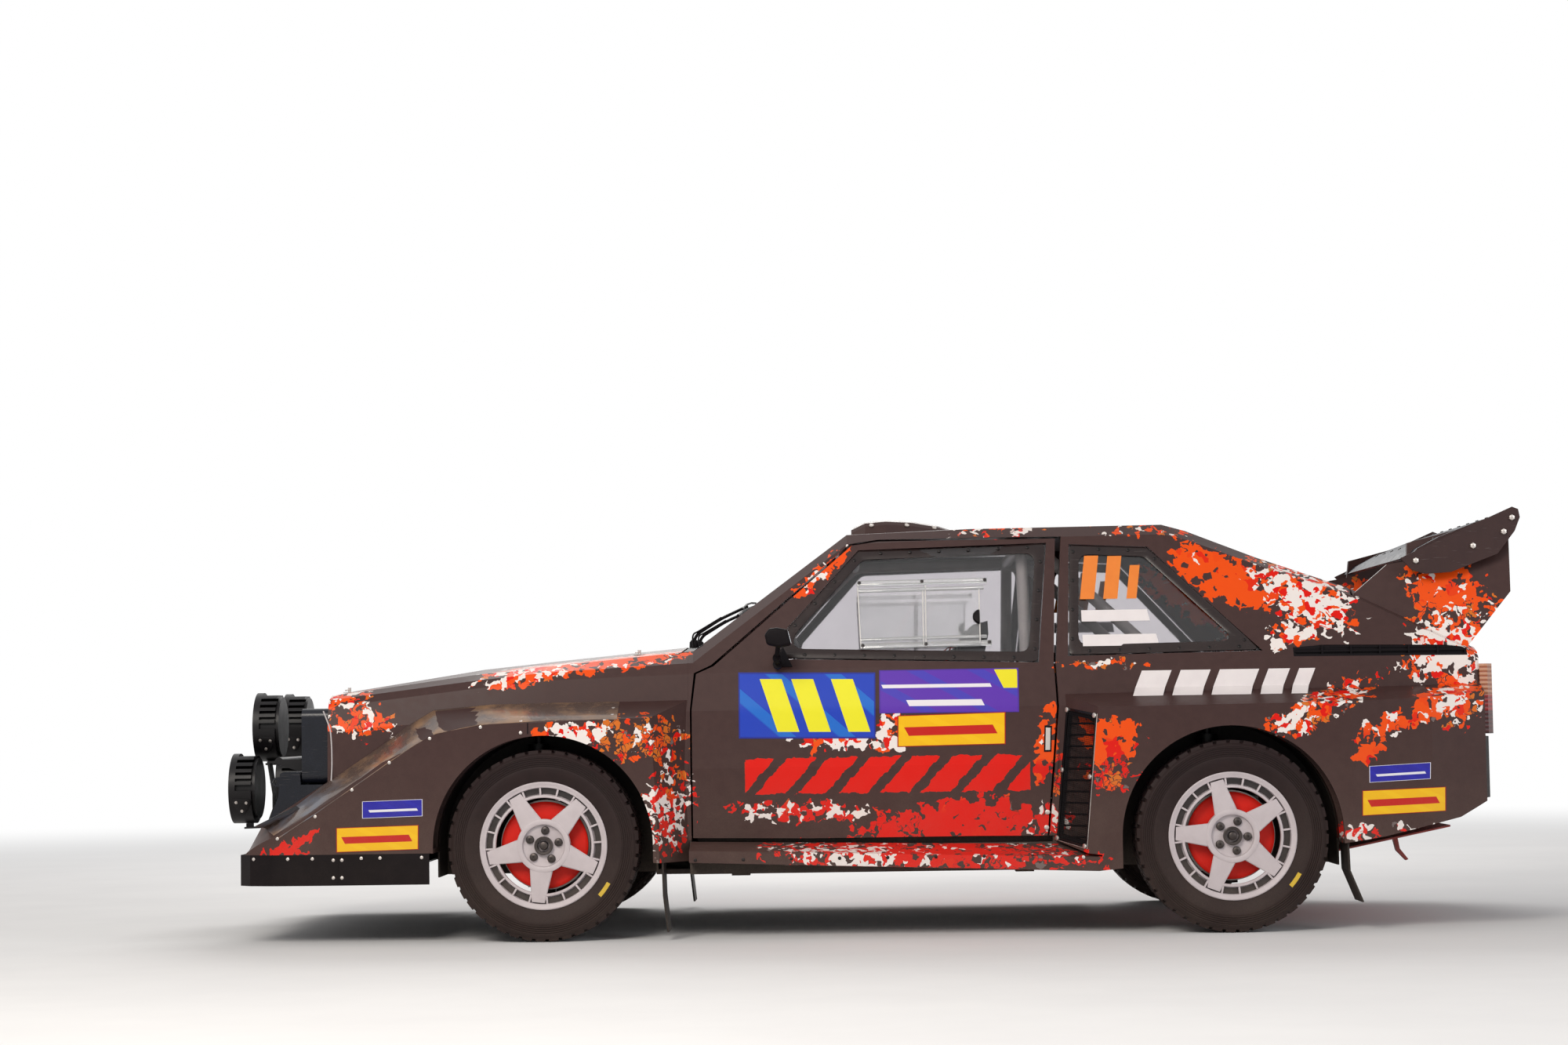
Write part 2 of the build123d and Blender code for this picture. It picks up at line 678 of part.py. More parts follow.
def exhaust():
    return tube([(660 - fit, -60, 300), (-830, -60, 300), (-960, -220, 404), (-1350, -220, 404),
                 (-1560, -330, 352), (-1985, -330, 355)], 26, 60)


pin_radius = 14
hub_face = 794
damper_x = 42
damper_y = 600
damper_rod = 14


def upright(x):
    """Hub carrier inside the rim, with a pin above and below the hub."""
    body = disc(x, 716, hub_face, axle_height, 58)
    body += block(x - 34, x + 34, 738, 762, axle_height - 118, axle_height + 118)
    for side in (-1, 1):
        z = axle_height + side * 112
        body += block(x - 22, x + 22, 740, kingpin_y + 14, z - 8, z + 8)
        body += rod((x, kingpin_y, z), (x, kingpin_y, z + side * 36), pin_radius - fit)
    return body


def arms(axle, low_mount):
    """Left wishbones, coil-over and drive shaft of one axle."""
    def at(x, y, z):
        return (axle + x, y, z)

    ball = kingpin_y - 20
    pairs = []
    for spread, y, mount, end, radius in ((95, rail_inner + 5, low_mount, 166, 13),
                                          (60, rail_outer + 3.2, 405, 454, 11)):
        arm = rod(at(spread, y, mount), at(0, ball, end), radius) + rod(at(-spread, y, mount), at(0, ball, end), radius)
        arm += rod(at(0, kingpin_y, end - 11), at(0, kingpin_y, end + 11), 28)
        pairs.append(arm - rod(at(0, kingpin_y, end - 60), at(0, kingpin_y, end + 60), pin_radius))
    lower, upper = pairs
    top = axle_height + math.sqrt(arch_radius ** 2 - (damper_x + damper_rod) ** 2) - fit
    lower += rod(at(damper_x, damper_y, 180), at(damper_x, damper_y, top), damper_rod)
    lower += rod(at(damper_x, damper_y, 470), at(damper_x, damper_y, 638), 36)
    shaft = disc(axle, drive_inner + fit, 694, axle_height, 14)
    return [lower, upper, shaft]


def suspension():
    left = arms(front_axle, 196) + arms(rear_axle, 232) + [upright(rear_axle)]
    drive = block(rear_axle - 100, rear_axle + 100, -drive_inner, drive_inner, 236, 384)
    drive += block(rear_axle - 100, rear_axle - 70, -frame_inner, frame_inner, 250, 290)
    return left + [mirrored(piece) for piece in left] + [drive]


def knuckle():
    left = upright(front_axle)
    left += block(rack_x - 12, front_axle, 726, 750, rack_z + 26, rack_z + 42)
    left += block(front_axle + 78, front_axle + 138, 790, 812, axle_height - 50, axle_height + 50)
    left += block(front_axle + 40, front_axle + 138, 750, 790, axle_height - 40, axle_height + 40)
    return left


def steering_rack():
    rack = rod((rack_x, -745, rack_z), (rack_x, 745, rack_z), 9)
    rack += rod((rack_x, -450, rack_z), (rack_x, 450, rack_z), rack_radius)
    for side in (-1, 1):
        rack += rod((rack_x, side * 738, rack_z), (rack_x, side * 738, rack_z + 26 - fit), 6)
    return rack


def steering_wheel():
    """Rim in a plane square to the column, which runs into the dashboard."""
    rim_centre = 165
    wheel = Torus(rim_centre, 14)
    wheel += Pos(0, 0, -column_length / 2) * Cylinder(column_radius, column_length)
    wheel += Pos(0, 0, -27) * Cylinder(34, 46)
    bar = Pos(rim_centre / 2, 0, -8) * Rot(0, 88, 0) * Cylinder(8, rim_centre - 6)
    for turn in (30, 180, 330):
        wheel += Rot(0, 0, turn) * bar
    return Plane(origin=wheel_hub, x_dir=(0, 0, -1), z_dir=column_run * -1) * wheel


def tyre(x):
    half = tyre_width / 2
    profile = [(-88, rim_radius - 17), (-90, rim_radius + 2), (-half, 252), (-half + 7, 291), (-half + 22, tyre_radius),
               (half - 22, tyre_radius), (half - 7, 291), (half, 252), (90, rim_radius + 2), (88, rim_radius - 17)]
    return spin(profile, x, wheel_centre_y, axle_height)


def wheel(x, first_spoke):
    """Cast wheel with five straight spokes, a ribbed channel, backing disc and brake disc."""
    seat = rim_radius - 17
    barrel = [(-98, rim_radius), (-91, rim_radius), (-89, seat), (89, seat), (91, rim_radius), (100, rim_radius),
              (100, 186), (88, 182), (86, 160), (93, 160), (93, 155), (70, 155), (60, 172), (-98, 176)]
    rim = spin(barrel, x, wheel_centre_y, axle_height)
    hub = disc(x, hub_face + 0.5, 868, axle_height, 56) + disc(x, 868, 904, axle_height, 79)
    hub -= disc(x, 896, 910, axle_height, 67)
    hub += disc(x, 890, 903, axle_height, 26)
    for i in range(5):
        hub += Pos(x, 0, axle_height) * Rot(0, -(first_spoke + 72 * i), 0) * spoke()
        a = math.radians(first_spoke + 36 + 72 * i)
        hub += disc(x + 56 * math.cos(a), 890, 902, axle_height + 56 * math.sin(a), 14)
    ribs = rim
    for i in range(20):
        a = math.radians(first_spoke + 18 * i + 9)
        c, s = math.cos(a), math.sin(a)
        ribs += rod((x + 161 * c, 896, axle_height + 161 * s), (x + 184 * c, 900, axle_height + 184 * s), 3)
    body = ribs + hub
    backing = disc(x, 846, 856, axle_height, 135) - disc(x, 840, 860, axle_height, 56)
    brake = disc(x, 818, 830, axle_height, 146) - disc(x, 810, 840, axle_height, 56)
    return [body, backing, brake]


def spoke():
    """One tapered spoke along +X."""
    return side_prism([(60, -40), (158, -24), (158, 24), (60, 40)], 876, 903)


def mirror():
    left = side_prism([(300, 946), (312, 996), (362, 1002), (386, 980), (380, 948), (340, 940)], 832, 925)
    left += rod((350, 758, 880), (342, 862, 962), 9)
    return largest(left - door())


def mud_flaps():
    parts = []
    for top_x, low_x, top, low, carrier in ((727, 711, 262, 28, fender()), (-1480, -1524, 296, 93, body_side())):
        flap = side_prism([(top_x + 3, top), (top_x, (top + low) / 2), (low_x + 3, low), (low_x - 3, low),
                           (top_x - 6, (top + low) / 2), (top_x - 3, top)], 760, 915)
        flap = largest(flap - carrier)
        parts += [flap, mirrored(flap)]
    return parts


def lamp(front_x, y, z):
    """Round night lamp: bezel, plain lower half and cooling fins on the upper half."""
    back = front_x - lamp_depth
    body = rod((front_x - 22, y, z), (front_x, y, z), lamp_radius)
    body += rod((back, y, z), (front_x - 20, y, z), lamp_radius - 16)
    full = rod((back + 10, y, z), (front_x - 20, y, z), lamp_radius)
    body += full & block(back, front_x, y - 200, y + 200, z - 200, z - 6)
    for i in range(5):
        low = z + 14 + 21 * i
        body += full & block(back, front_x, y - 200, y + 200, low, low + 11)
    body -= rod((front_x - 6, y, z), (front_x + 5, y, z), lamp_radius - 10)
    return body


def lamp_pods():
    upper_x, upper_z = front_end - 52, 706
    lower_z = 500
    parts = []
    cross = rod((2040, -520, 590), (2040, 520, 590), 14)
    for y in (-520, -130, 130, 520):
        cross += side_prism([(1940, 558), (1978, 558), (2052, 584), (2052, 596), (1940, 596)], y - 5, y + 5)
    for y in (-upper_lamp_y, upper_lamp_y):
        parts.append(lamp(upper_x, y, upper_z))
        cross += block(2040, upper_x - 30, y - 40, y + 40, 576, 583)
        cross += block(upper_x - 62, upper_x - 40, y - 12, y + 12, 576, upper_z - lamp_radius - fit)
    for y in (-lower_lamp_y, lower_lamp_y):
        parts.append(lamp(front_end, y, lower_z))
        strip = [(2030, 596), (2092, 590), (2074, 480), (2074, 430), (2096, 372), (2170, 370), (2170, 364),
                 (2090, 366), (2068, 428), (2068, 482), (2084, 584), (2030, 590)]
        cross += side_prism(strip, y - 30, y + 30)
        cross += block(front_end - 62, front_end - 40, y - 12, y + 12, 364, lower_z - lamp_radius - fit)
    return parts + [cross]


os.makedirs("parts", exist_ok=True)


def save(name, shape):
    """Write one node, moved from mid wheelbase to the middle of the overall length."""
    placed = [Pos(-origin_ahead, 0, 0) * solid for solid in solids_of(shape)]
    export_step(Compound(children=placed), f"parts/{name}.step")


for make in (floor_pan, nose_panel, front_bumper, splitter, sill_boards, rear_bumper, undertray, dashboard,
             roll_cage, seats, engine_block, exhaust, body_glass, headlamps, lamp_pods, tail_lamps, mud_flaps,
             suspension, side_ducts, hood, boot_lid, wing, steering_wheel, steering_rack):
    save(make.__name__, make())
save("roof_panel", (body_shell & roof_cut) + roof_scoop())

for make in (body_side, fender, door, door_window, mirror, knuckle):
    left = make()
    save("left_" + make.__name__, left)
    save("right_" + make.__name__, mirrored(left))

for place, x, first_spoke in (("front", front_axle, 60), ("rear", rear_axle, 75)):
    for name, pieces in (("tyre", [tyre(x)]), ("wheel", wheel(x, first_spoke))):
        save(f"left_{place}_{name}", pieces)
        save(f"right_{place}_{name}", [mirrored(piece) for piece in pieces])
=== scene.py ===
import math
from contextlib import contextmanager

import bpy
from mathutils import Matrix, Vector


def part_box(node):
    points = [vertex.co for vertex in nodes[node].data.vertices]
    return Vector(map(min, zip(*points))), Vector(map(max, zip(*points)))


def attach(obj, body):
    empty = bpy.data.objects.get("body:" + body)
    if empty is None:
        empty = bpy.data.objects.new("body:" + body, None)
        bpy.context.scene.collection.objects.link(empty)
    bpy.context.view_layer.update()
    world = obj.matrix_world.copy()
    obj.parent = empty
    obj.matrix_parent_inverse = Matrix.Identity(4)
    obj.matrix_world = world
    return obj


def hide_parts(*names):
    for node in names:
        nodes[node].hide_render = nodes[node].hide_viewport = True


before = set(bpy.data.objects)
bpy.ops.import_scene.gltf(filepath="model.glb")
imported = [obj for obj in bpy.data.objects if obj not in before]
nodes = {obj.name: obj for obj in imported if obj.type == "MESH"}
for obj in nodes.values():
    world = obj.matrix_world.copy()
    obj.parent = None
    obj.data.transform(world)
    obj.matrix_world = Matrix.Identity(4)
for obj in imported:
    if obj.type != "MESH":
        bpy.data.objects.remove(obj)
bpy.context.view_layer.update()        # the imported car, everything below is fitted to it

scene = bpy.context.scene
scene.view_settings.view_transform = "Standard"
print("frame loaded:", len(nodes), "nodes")


def middle(node):
    low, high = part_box(node)
    return Vector([(a + b) / 2 for a, b in zip(low, high)])


# outlines on the car's side are measured in mm from the middle of the wheelbase and from the ground
midX = (middle("left_front_wheel").x + middle("left_rear_wheel").x) / 2


def sideX(x):
    return midX + x / 1000


def at(x, y, z):
    return Vector((sideX(x), y / 1000, z / 1000))


# camera at the photograph's place and angle
cameraSettings = {
    "place": Vector((0.053, 11.075, 0.714)), "lens": 72.0, "sensor": 36.0, "yaw": 1.20, "pitch": 3.55, "roll": -0.87,
}
yaw, pitch, roll = (math.radians(cameraSettings[key]) for key in ("yaw", "pitch", "roll"))
forward = Vector((math.sin(yaw) * math.cos(pitch), -math.cos(yaw) * math.cos(pitch), math.sin(pitch)))
level = forward.cross(Vector((0, 0, 1))).normalized()
upright = level.cross(forward)
right = level * math.cos(roll) + upright * math.sin(roll)
up = upright * math.cos(roll) - level * math.sin(roll)
bpy.ops.object.camera_add(location=cameraSettings["place"])
camera = bpy.context.object
camera.name = "photoCamera"
camera.data.lens = cameraSettings["lens"]
camera.data.sensor_width = cameraSettings["sensor"]
camera.matrix_world = Matrix([
    (*row, place) for row, place in zip(zip(right, up, -forward), cameraSettings["place"])] + [(0, 0, 0, 1)])
scene.camera = camera


def srgb(red, green, blue):
    def linear(value):
        value /= 255
        return value / 12.92 if value <= 0.04045 else ((value + 0.055) / 1.055) ** 2.4
    return (linear(red), linear(green), linear(blue), 1)


class Field:
    # one output in a shader's node tree, which takes plain arithmetic
    def __init__(self, socket):
        self.socket, self.tree = socket, socket.id_data

    def maths(self, operation, other=0.0, clamp=False):
        return put(self.tree, "ShaderNodeMath", {0: self, 1: other}, operation=operation, use_clamp=clamp)

    def __add__(self, other):
        return self.maths("ADD", other)

    def __sub__(self, other):
        return self.maths("SUBTRACT", other)

    def __mul__(self, other):
        return self.maths("MULTIPLY", other)

    def __abs__(self):
        return self.maths("ABSOLUTE")

    def __rsub__(self, other):
        return put(self.tree, "ShaderNodeMath", {0: other, 1: self}, operation="SUBTRACT")

    def larger(self, other):
        return self.maths("MAXIMUM", other)

    def ranged(self, low, high, interpolation="SMOOTHSTEP"):
        limits = {"Value": self, "From Min": low, "From Max": high}
        return put(self.tree, "ShaderNodeMapRange", limits, interpolation_type=interpolation)

    def step(self, edge, soft):
        return self.ranged(edge - soft, edge + soft)

    def mix(self, first, second):
        # this field is the share of the second colour
        node = self.tree.nodes.new("ShaderNodeMix")
        node.data_type = "RGBA"
        for key, value in (("Factor", self), ("A", first), ("B", second)):
            connect(value, [socket for socket in node.inputs if socket.name == key and socket.enabled][0])
        return Field([socket for socket in node.outputs if socket.enabled][0])

    def parts(self):
        return [Field(socket) for socket in self.socket.node.outputs]


def connect(value, socket):
    if isinstance(value, Field):
        value.tree.links.new(value.socket, socket)
    else:
        socket.default_value = value


def put(tree, kind, inputs=None, output=0, **settings):
    node = tree.nodes.new(kind)
    for key, value in settings.items():
        setattr(node, key, value)
    for key, value in (inputs or {}).items():
        connect(value, node.inputs[key])
    return Field(node.outputs[output])


def vectorMaths(operation, first, second):
    inputs = {0: first, "Scale" if operation == "SCALE" else 1: second}
    return put(first.tree, "ShaderNodeVectorMath", inputs, operation=operation)


def axesOf(place):
    return put(place.tree, "ShaderNodeSeparateXYZ", {0: place}).parts()


def noise(place, scale, detail, roughness, output="Fac"):
    inputs = {"Vector": place, "Scale": scale, "Detail": detail, "Roughness": roughness}
    return put(place.tree, "ShaderNodeTexNoise", inputs, output)


def wave(place, scale, distortion=0.0, **settings):
    inputs = {"Vector": place, "Scale": scale, "Distortion": distortion}
    return put(place.tree, "ShaderNodeTexWave", inputs, "Fac", **settings)


def newGroup(name, results, **numbers):
    # a group that takes a place and the numbers, with its fields and the sockets for its results
    group = bpy.data.node_groups.new(name, "ShaderNodeTree")
    group.interface.new_socket(name="Vector", in_out="INPUT", socket_type="NodeSocketVector")
    for label, value in numbers.items():
        group.interface.new_socket(name=label, in_out="INPUT", socket_type="NodeSocketFloat").default_value = value
    for label in results:
        kind = "NodeSocketColor" if label == "Color" else "NodeSocketFloat"
        group.interface.new_socket(name=label, in_out="OUTPUT", socket_type=kind)
    source = group.nodes.new("NodeGroupInput")
    taken = [Field(source.outputs[label]) for label in ("Vector", *numbers)]
    return group, taken, group.nodes.new("NodeGroupOutput").inputs


def use(group, place, **numbers):
    node = place.tree.nodes.new("ShaderNodeGroup")
    node.node_tree = group
    for key, value in {"Vector": place, **numbers}.items():
        connect(value, node.inputs[key])
    return [Field(socket) for socket in node.outputs]


def newMaterial(name, **principled):
    material = bpy.data.materials.new(name)
    material.use_nodes = True
    tree = material.node_tree
    for key, value in principled.items():
        tree.nodes["Principled BSDF"].inputs[key.replace("_", " ")].default_value = value
    return material, put(tree, "ShaderNodeTexCoord", output="Object")


def dressed(material, colour, roughness=None, height=None, strength=0.1, distance=0.001):
    # feeds the shader's colour, roughness and bump
    inputs = material.node_tree.nodes["Principled BSDF"].inputs
    connect(colour, inputs["Base Color"])
    if roughness:
        connect(roughness, inputs["Roughness"])
    if height:
        bump = {"Height": height, "Strength": strength, "Distance": distance}
        connect(put(height.tree, "ShaderNodeBump", bump), inputs["Normal"])
    return material


def buildDust():
    group, (place, top, amount), out = newGroup("dustFilm", ["Mask"], Top=0.5, Amount=0.5)
    low = axesOf(place)[2].ranged(top, 0.0) + 0.08
    mottled = noise(place, 7.0, 6.0, 0.65) * (noise(place, 240.0, 2.0, 0.5) + 0.45)
    connect((mottled * low).maths("MULTIPLY", amount, True), out["Mask"])
    return group


def buildGrain():
    group, (place, scale), out = newGroup("fineGrain", ["Height", "Shade"], Scale=400.0)
    wide = noise(place, scale * 0.04, 4.0, 0.6)
    connect(noise(place, scale, 3.0, 0.6) + wide, out["Height"])
    connect(wide, out["Shade"])
    return group


def buildScratches():
    group, (place, scale, amount), out = newGroup("fineScratches", ["Mask"], Scale=6.0, Amount=0.5)
    masks = []
    for turn in (0.35, -0.6, 1.2):
        drawn = {"Vector": place, "Rotation": (0.2, turn, 0.4), "Scale": (1, 1, 26)}
        masks.append(noise(put(group, "ShaderNodeMapping", drawn), scale, 3.0, 0.7).step(0.69, 0.02))
    total = masks[0].larger(masks[1]).larger(masks[2])
    connect(total.maths("MULTIPLY", amount, True), out["Mask"])
    return group


dustGroup, grainGroup, scratchGroup = buildDust(), buildGrain(), buildScratches()

# torn rags of colour on the wrap: tilted soft ellipses on the car's side, and how much of each kind they hold
camoSettings = {
    "orange": srgb(240, 80, 8), "red": srgb(224, 18, 5), "ochre": srgb(214, 112, 34),
    "white": srgb(240, 232, 228), "grey": srgb(112, 101, 99), "coarse": 27.0, "fine": 52.0,
    "patches": (      # x, z, half length, half height (metres), tilt, then sheet, shard and white share
        (1.80, 0.790, 0.105, 0.030, -20, 0.7, 0.5, 0.7), (1.72, 0.720, 0.100, 0.050, 10, 0.6, 0.7, 0.4),
        (1.17, 0.872, 0.160, 0.036, -12, 0.9, 0.2, 0.7), (0.87, 0.905, 0.220, 0.026, -4, 1.0, 0.0, 0.2),
        (1.02, 0.668, 0.115, 0.034, -6, 0.8, 0.3, 1.0), (0.79, 0.645, 0.130, 0.062, 4, 0.2, 1.1, 0.2),
        (0.715, 0.42, 0.075, 0.130, 12, 0.5, 0.7, 0.7), (0.10, 0.630, 0.180, 0.026, 0, 0.9, 0.2, 0.8),
        (-0.03, 0.690, 0.035, 0.045, 0, 0.9, 0.2, 0.6), (0.27, 0.405, 0.210, 0.026, 2, 0.8, 0.5, 0.9),
        (-0.29, 0.355, 0.200, 0.076, 0, 1.15, 0.4, 0.0), (0.00, 0.330, 0.120, 0.062, -14, 0.8, 0.9, 0.0),
        (-0.12, 0.262, 0.440, 0.044, 2, 0.8, 1.0, 0.3), (0.14, 0.262, 0.160, 0.036, 4, 0.4, 0.4, 0.9),
        (-0.52, 0.590, 0.032, 0.125, 8, 1.1, 0.0, 0.1), (-0.555, 0.50, 0.018, 0.110, 0, 0.2, 1.0, 0.0),
        (-0.53, 0.352, 0.060, 0.052, -20, 0.9, 0.3, 0.6), (-0.735, 0.625, 0.085, 0.060, 12, 1.15, 0.2, 0.0),
        (-0.725, 0.518, 0.070, 0.046, 0, 0.2, 1.1, 0.0), (-0.70, 0.872, 0.130, 0.013, 0, 0.3, 0.8, 0.3),
        (-1.40, 0.720, 0.200, 0.042, -25, 0.6, 0.9, 0.8), (-1.71, 0.700, 0.215, 0.036, -24, 1.15, 0.2, 0.4),
        (-1.553, 0.572, 0.036, 0.034, 0, 1.2, 0.0, 0.0), (-1.85, 0.740, 0.070, 0.085, 20, 0.6, 0.8, 0.6),
        (-1.85, 0.905, 0.140, 0.105, -20, 0.8, 0.7, 1.0), (-1.41, 1.075, 0.140, 0.090, 24, 0.9, 0.2, 1.15),
        (-1.38, 0.985, 0.110, 0.052, -20, 0.8, 0.3, 1.0), (-1.13, 1.155, 0.175, 0.070, 30, 1.2, 0.0, 0.1),
        (-1.32, 1.150, 0.100, 0.062, 24, 0.3, 1.0, 0.8), (-0.42, 1.330, 0.150, 0.014, -3, 0.2, 0.8, 0.6),
        (-0.90, 1.325, 0.170, 0.020, 3, 0.6, 0.6, 0.6), (0.21, 1.190, 0.118, 0.022, -42, 1.15, 0.1, 0.5),
        (-1.86, 1.110, 0.120, 0.070, 20, 1.1, 0.6, 0.3), (-1.90, 1.000, 0.130, 0.080, 0, 0.3, 1.15, 0.2),
        (1.95, 0.300, 0.085, 0.016, 0, 1.1, 0.0, 0.0), (1.88, 0.352, 0.060, 0.018, -16, 0.9, 0.2, 0.0),
        (-1.515, 0.310, 0.050, 0.032, 0, 0.5, 0.9, 0.6), (-1.70, 0.322, 0.070, 0.014, 10, 0.3, 0.8, 0.8)),
    # torn red bars along the door
    "band": {"centre": 0.522, "half": 0.058, "from": -0.47, "to": 0.46, "pitch": 7.4, "slant": 0.9},
}


def buildCamo():
    s, band = camoSettings, camoSettings["band"]
    group, (place,), out = newGroup("tornRags", ["Color", "Mask"])
    warp = vectorMaths("SUBTRACT", noise(place, 30.0, 2.0, 0.5, "Color"), (0.5, 0.5, 0.5))
    bent = vectorMaths("ADD", place, vectorMaths("SCALE", warp, 0.055))

    def cellsOf(scale):
        # half of each cell's place, and three numbers by chance
        cells = put(group, "ShaderNodeTexVoronoi", {"Vector": bent, "Scale": scale}, "Position", feature="F1")
        shade = Field(cells.socket.node.outputs["Color"])
        return axesOf(vectorMaths("SCALE", cells, 0.5)), put(group, "ShaderNodeSeparateColor", {0: shade}).parts()

    coarsePlace, (coarseRed, coarseGreen, coarseBlue) = cellsOf(s["coarse"])
    finePlace, (fineRed, fineGreen, fineBlue) = cellsOf(s["fine"])
    fineCells = {"Vector": bent, "Scale": s["fine"]}
    gaps = put(group, "ShaderNodeTexVoronoi", fineCells, "Distance", feature="DISTANCE_TO_EDGE")
    cellX, cellY, cellZ = (fine + coarse for fine, coarse in zip(finePlace, coarsePlace))
    flank = abs(cellY).ranged(0.34, 0.66)
    fields = [None, None, None]
    for x, z, halfX, halfZ, tilt, *shares in s["patches"]:
        cosine, sine = math.cos(math.radians(tilt)), math.sin(math.radians(tilt))
        fromX, fromZ = cellX - (x + midX), cellZ - z
        alongX = fromX * (cosine / halfX) + fromZ * (sine / halfX)
        alongZ = fromZ * (cosine / halfZ) - fromX * (sine / halfZ)
        inside = (1.7 - (alongX * alongX + alongZ * alongZ) * 0.8).larger(0.0) * flank
        for index, share in enumerate(shares):
            if share:
                held = inside * share
                fields[index] = fields[index].larger(held) if fields[index] else held
    sheetField, shardField, whiteField = fields

    def chosen(field, chance, spread, edge):
        return (field + (chance - 0.5) * spread).step(edge, 0.002) * field.step(0.12, 0.002)

    sheet = chosen(sheetField, coarseRed * 0.6 + fineRed * 0.4, 1.5, 0.86)
    shard = chosen(shardField, fineGreen, 2.1, 0.98) * gaps.step(0.06, 0.008)
    pale = chosen(whiteField, coarseBlue * 0.45 + fineBlue * 0.55, 2.6, 1.08)

    spotX, _, spotZ = axesOf(place)
    ragged = (noise(bent, 26.0, 3.0, 0.55) - 0.5) * 0.26
    bar = (((spotX + spotZ * band["slant"]) * band["pitch"]).maths("PINGPONG", 0.5) + ragged).step(0.15, 0.006)
    away = abs(spotZ - band["centre"]) - ragged * 0.10
    bar = bar * (band["half"] - away).step(0.0, 0.0006)
    middleX, halfLength = (band["from"] + band["to"]) / 2 + midX, (band["to"] - band["from"]) / 2
    bar = bar * (halfLength - abs(spotX - middleX)).step(0.0, 0.002)

    low = spotZ.ranged(0.68, 0.38, "LINEAR")
    redness = (low + coarseGreen).step(0.95, 0.10).larger(bar)
    colour = redness.mix(s["orange"], s["red"])
    shardColour = (coarseRed.step(0.5, 0.01) * (1.0 - redness)).mix(colour, s["ochre"])
    shardColour = fineRed.step(0.84, 0.01).mix(shardColour, s["grey"])
    colour = (shard * (1.0 - sheet)).mix(colour, shardColour)
    colour = pale.mix(colour, s["white"])
    colour = (pale * fineGreen.step(0.80, 0.002)).mix(colour, s["red"])
    holes = fineRed.step(0.91, 0.002) * (1.0 - bar)
    connect(colour, out["Color"])
    connect(sheet.larger(shard).larger(pale.larger(bar)) * (1.0 - holes), out["Mask"])
    return group


camoGroup = buildCamo()
dustColour = srgb(150, 132, 118)


def dusty(colour, place, top, amount):
    mask, = use(dustGroup, place, Top=top, Amount=amount)
    return mask.mix(colour, dustColour), mask


def scratched(colour, place, scale, amount, tint):
    return use(scratchGroup, place, Scale=scale, Amount=amount)[0].mix(colour, tint)


def makePaint():
    material, place = newMaterial("wrapFilm", Specular_IOR_Level=0.18)
    ragColour, ragMask = use(camoGroup, place)
    dust, = use(dustGroup, place, Top=0.75, Amount=0.5)
    height, shade = use(grainGroup, place, Scale=900.0)
    colour = ragMask.mix(shade.mix(srgb(58, 39, 38), srgb(70, 49, 47)), ragColour)
    colour = (dust * 0.55).mix(colour, dustColour)
    return dressed(material, colour, shade * 0.22 + 0.27 + dust * 0.3, height, 0.04, 0.0008)


def plain(name, dark, light, roughness, grainScale=500.0, bumpStrength=0.15, dustAmount=0.5, dustTop=0.6,
          scratch=0.0, **principled):
    material, place = newMaterial(name, **principled)
    height, shade = use(grainGroup, place, Scale=grainScale)
    colour = shade.mix(srgb(*dark), srgb(*light))
    if scratch:
        colour = scratched(colour, place, 9.0, scratch, srgb(160, 150, 145))
    colour, dust = dusty(colour, place, dustTop, dustAmount)
    return dressed(material, colour, shade * 0.2 + (roughness - 0.1) + dust * 0.35, height, bumpStrength)


def makeGlass(name, tint, transmission, roughness):
    material, place = newMaterial(name, Transmission_Weight=transmission, IOR=1.45)
    colour = noise(place, 9.0, 5.0, 0.6).mix(tint, tuple(min(1, c * 1.12) for c in tint[:3]) + (1,))
    return dressed(material, colour, noise(place, 14.0, 6.0, 0.7) * (roughness * 2))


def makeFlutedLens(name, tint, across):
    # clear lens with upright flutes from a wave
    material, place = newMaterial(name, Transmission_Weight=0.85, IOR=1.45, Coat_Weight=0.2)
    haze = noise(place, 12.0, 4.0, 0.6)
    flutes = wave(place, across, wave_type="BANDS", bands_direction="Y")
    return dressed(material, haze.mix(tint, tuple(c * 0.86 for c in tint[:3]) + (1,)), haze * 0.16, flutes, 1.0, 0.006)


def makeWingMaterial():
    # dark blue-black blade, end plates in the car's brown
    plateFrom = 0.7035
    material, place = newMaterial("wingDark", Specular_IOR_Level=0.2)
    height, shade = use(grainGroup, place, Scale=500.0)
    blade = shade.mix(srgb(22, 26, 36), srgb(38, 42, 54))
    plate = shade.mix(srgb(52, 36, 36), srgb(66, 48, 46))
    colour = abs(axesOf(place)[1]).step(plateFrom, 0.0003).mix(blade, plate)
    colour = scratched(colour, place, 9.0, 0.25, srgb(150, 142, 140))
    return dressed(material, colour, shade * 0.25 + 0.36, height, 0.12)


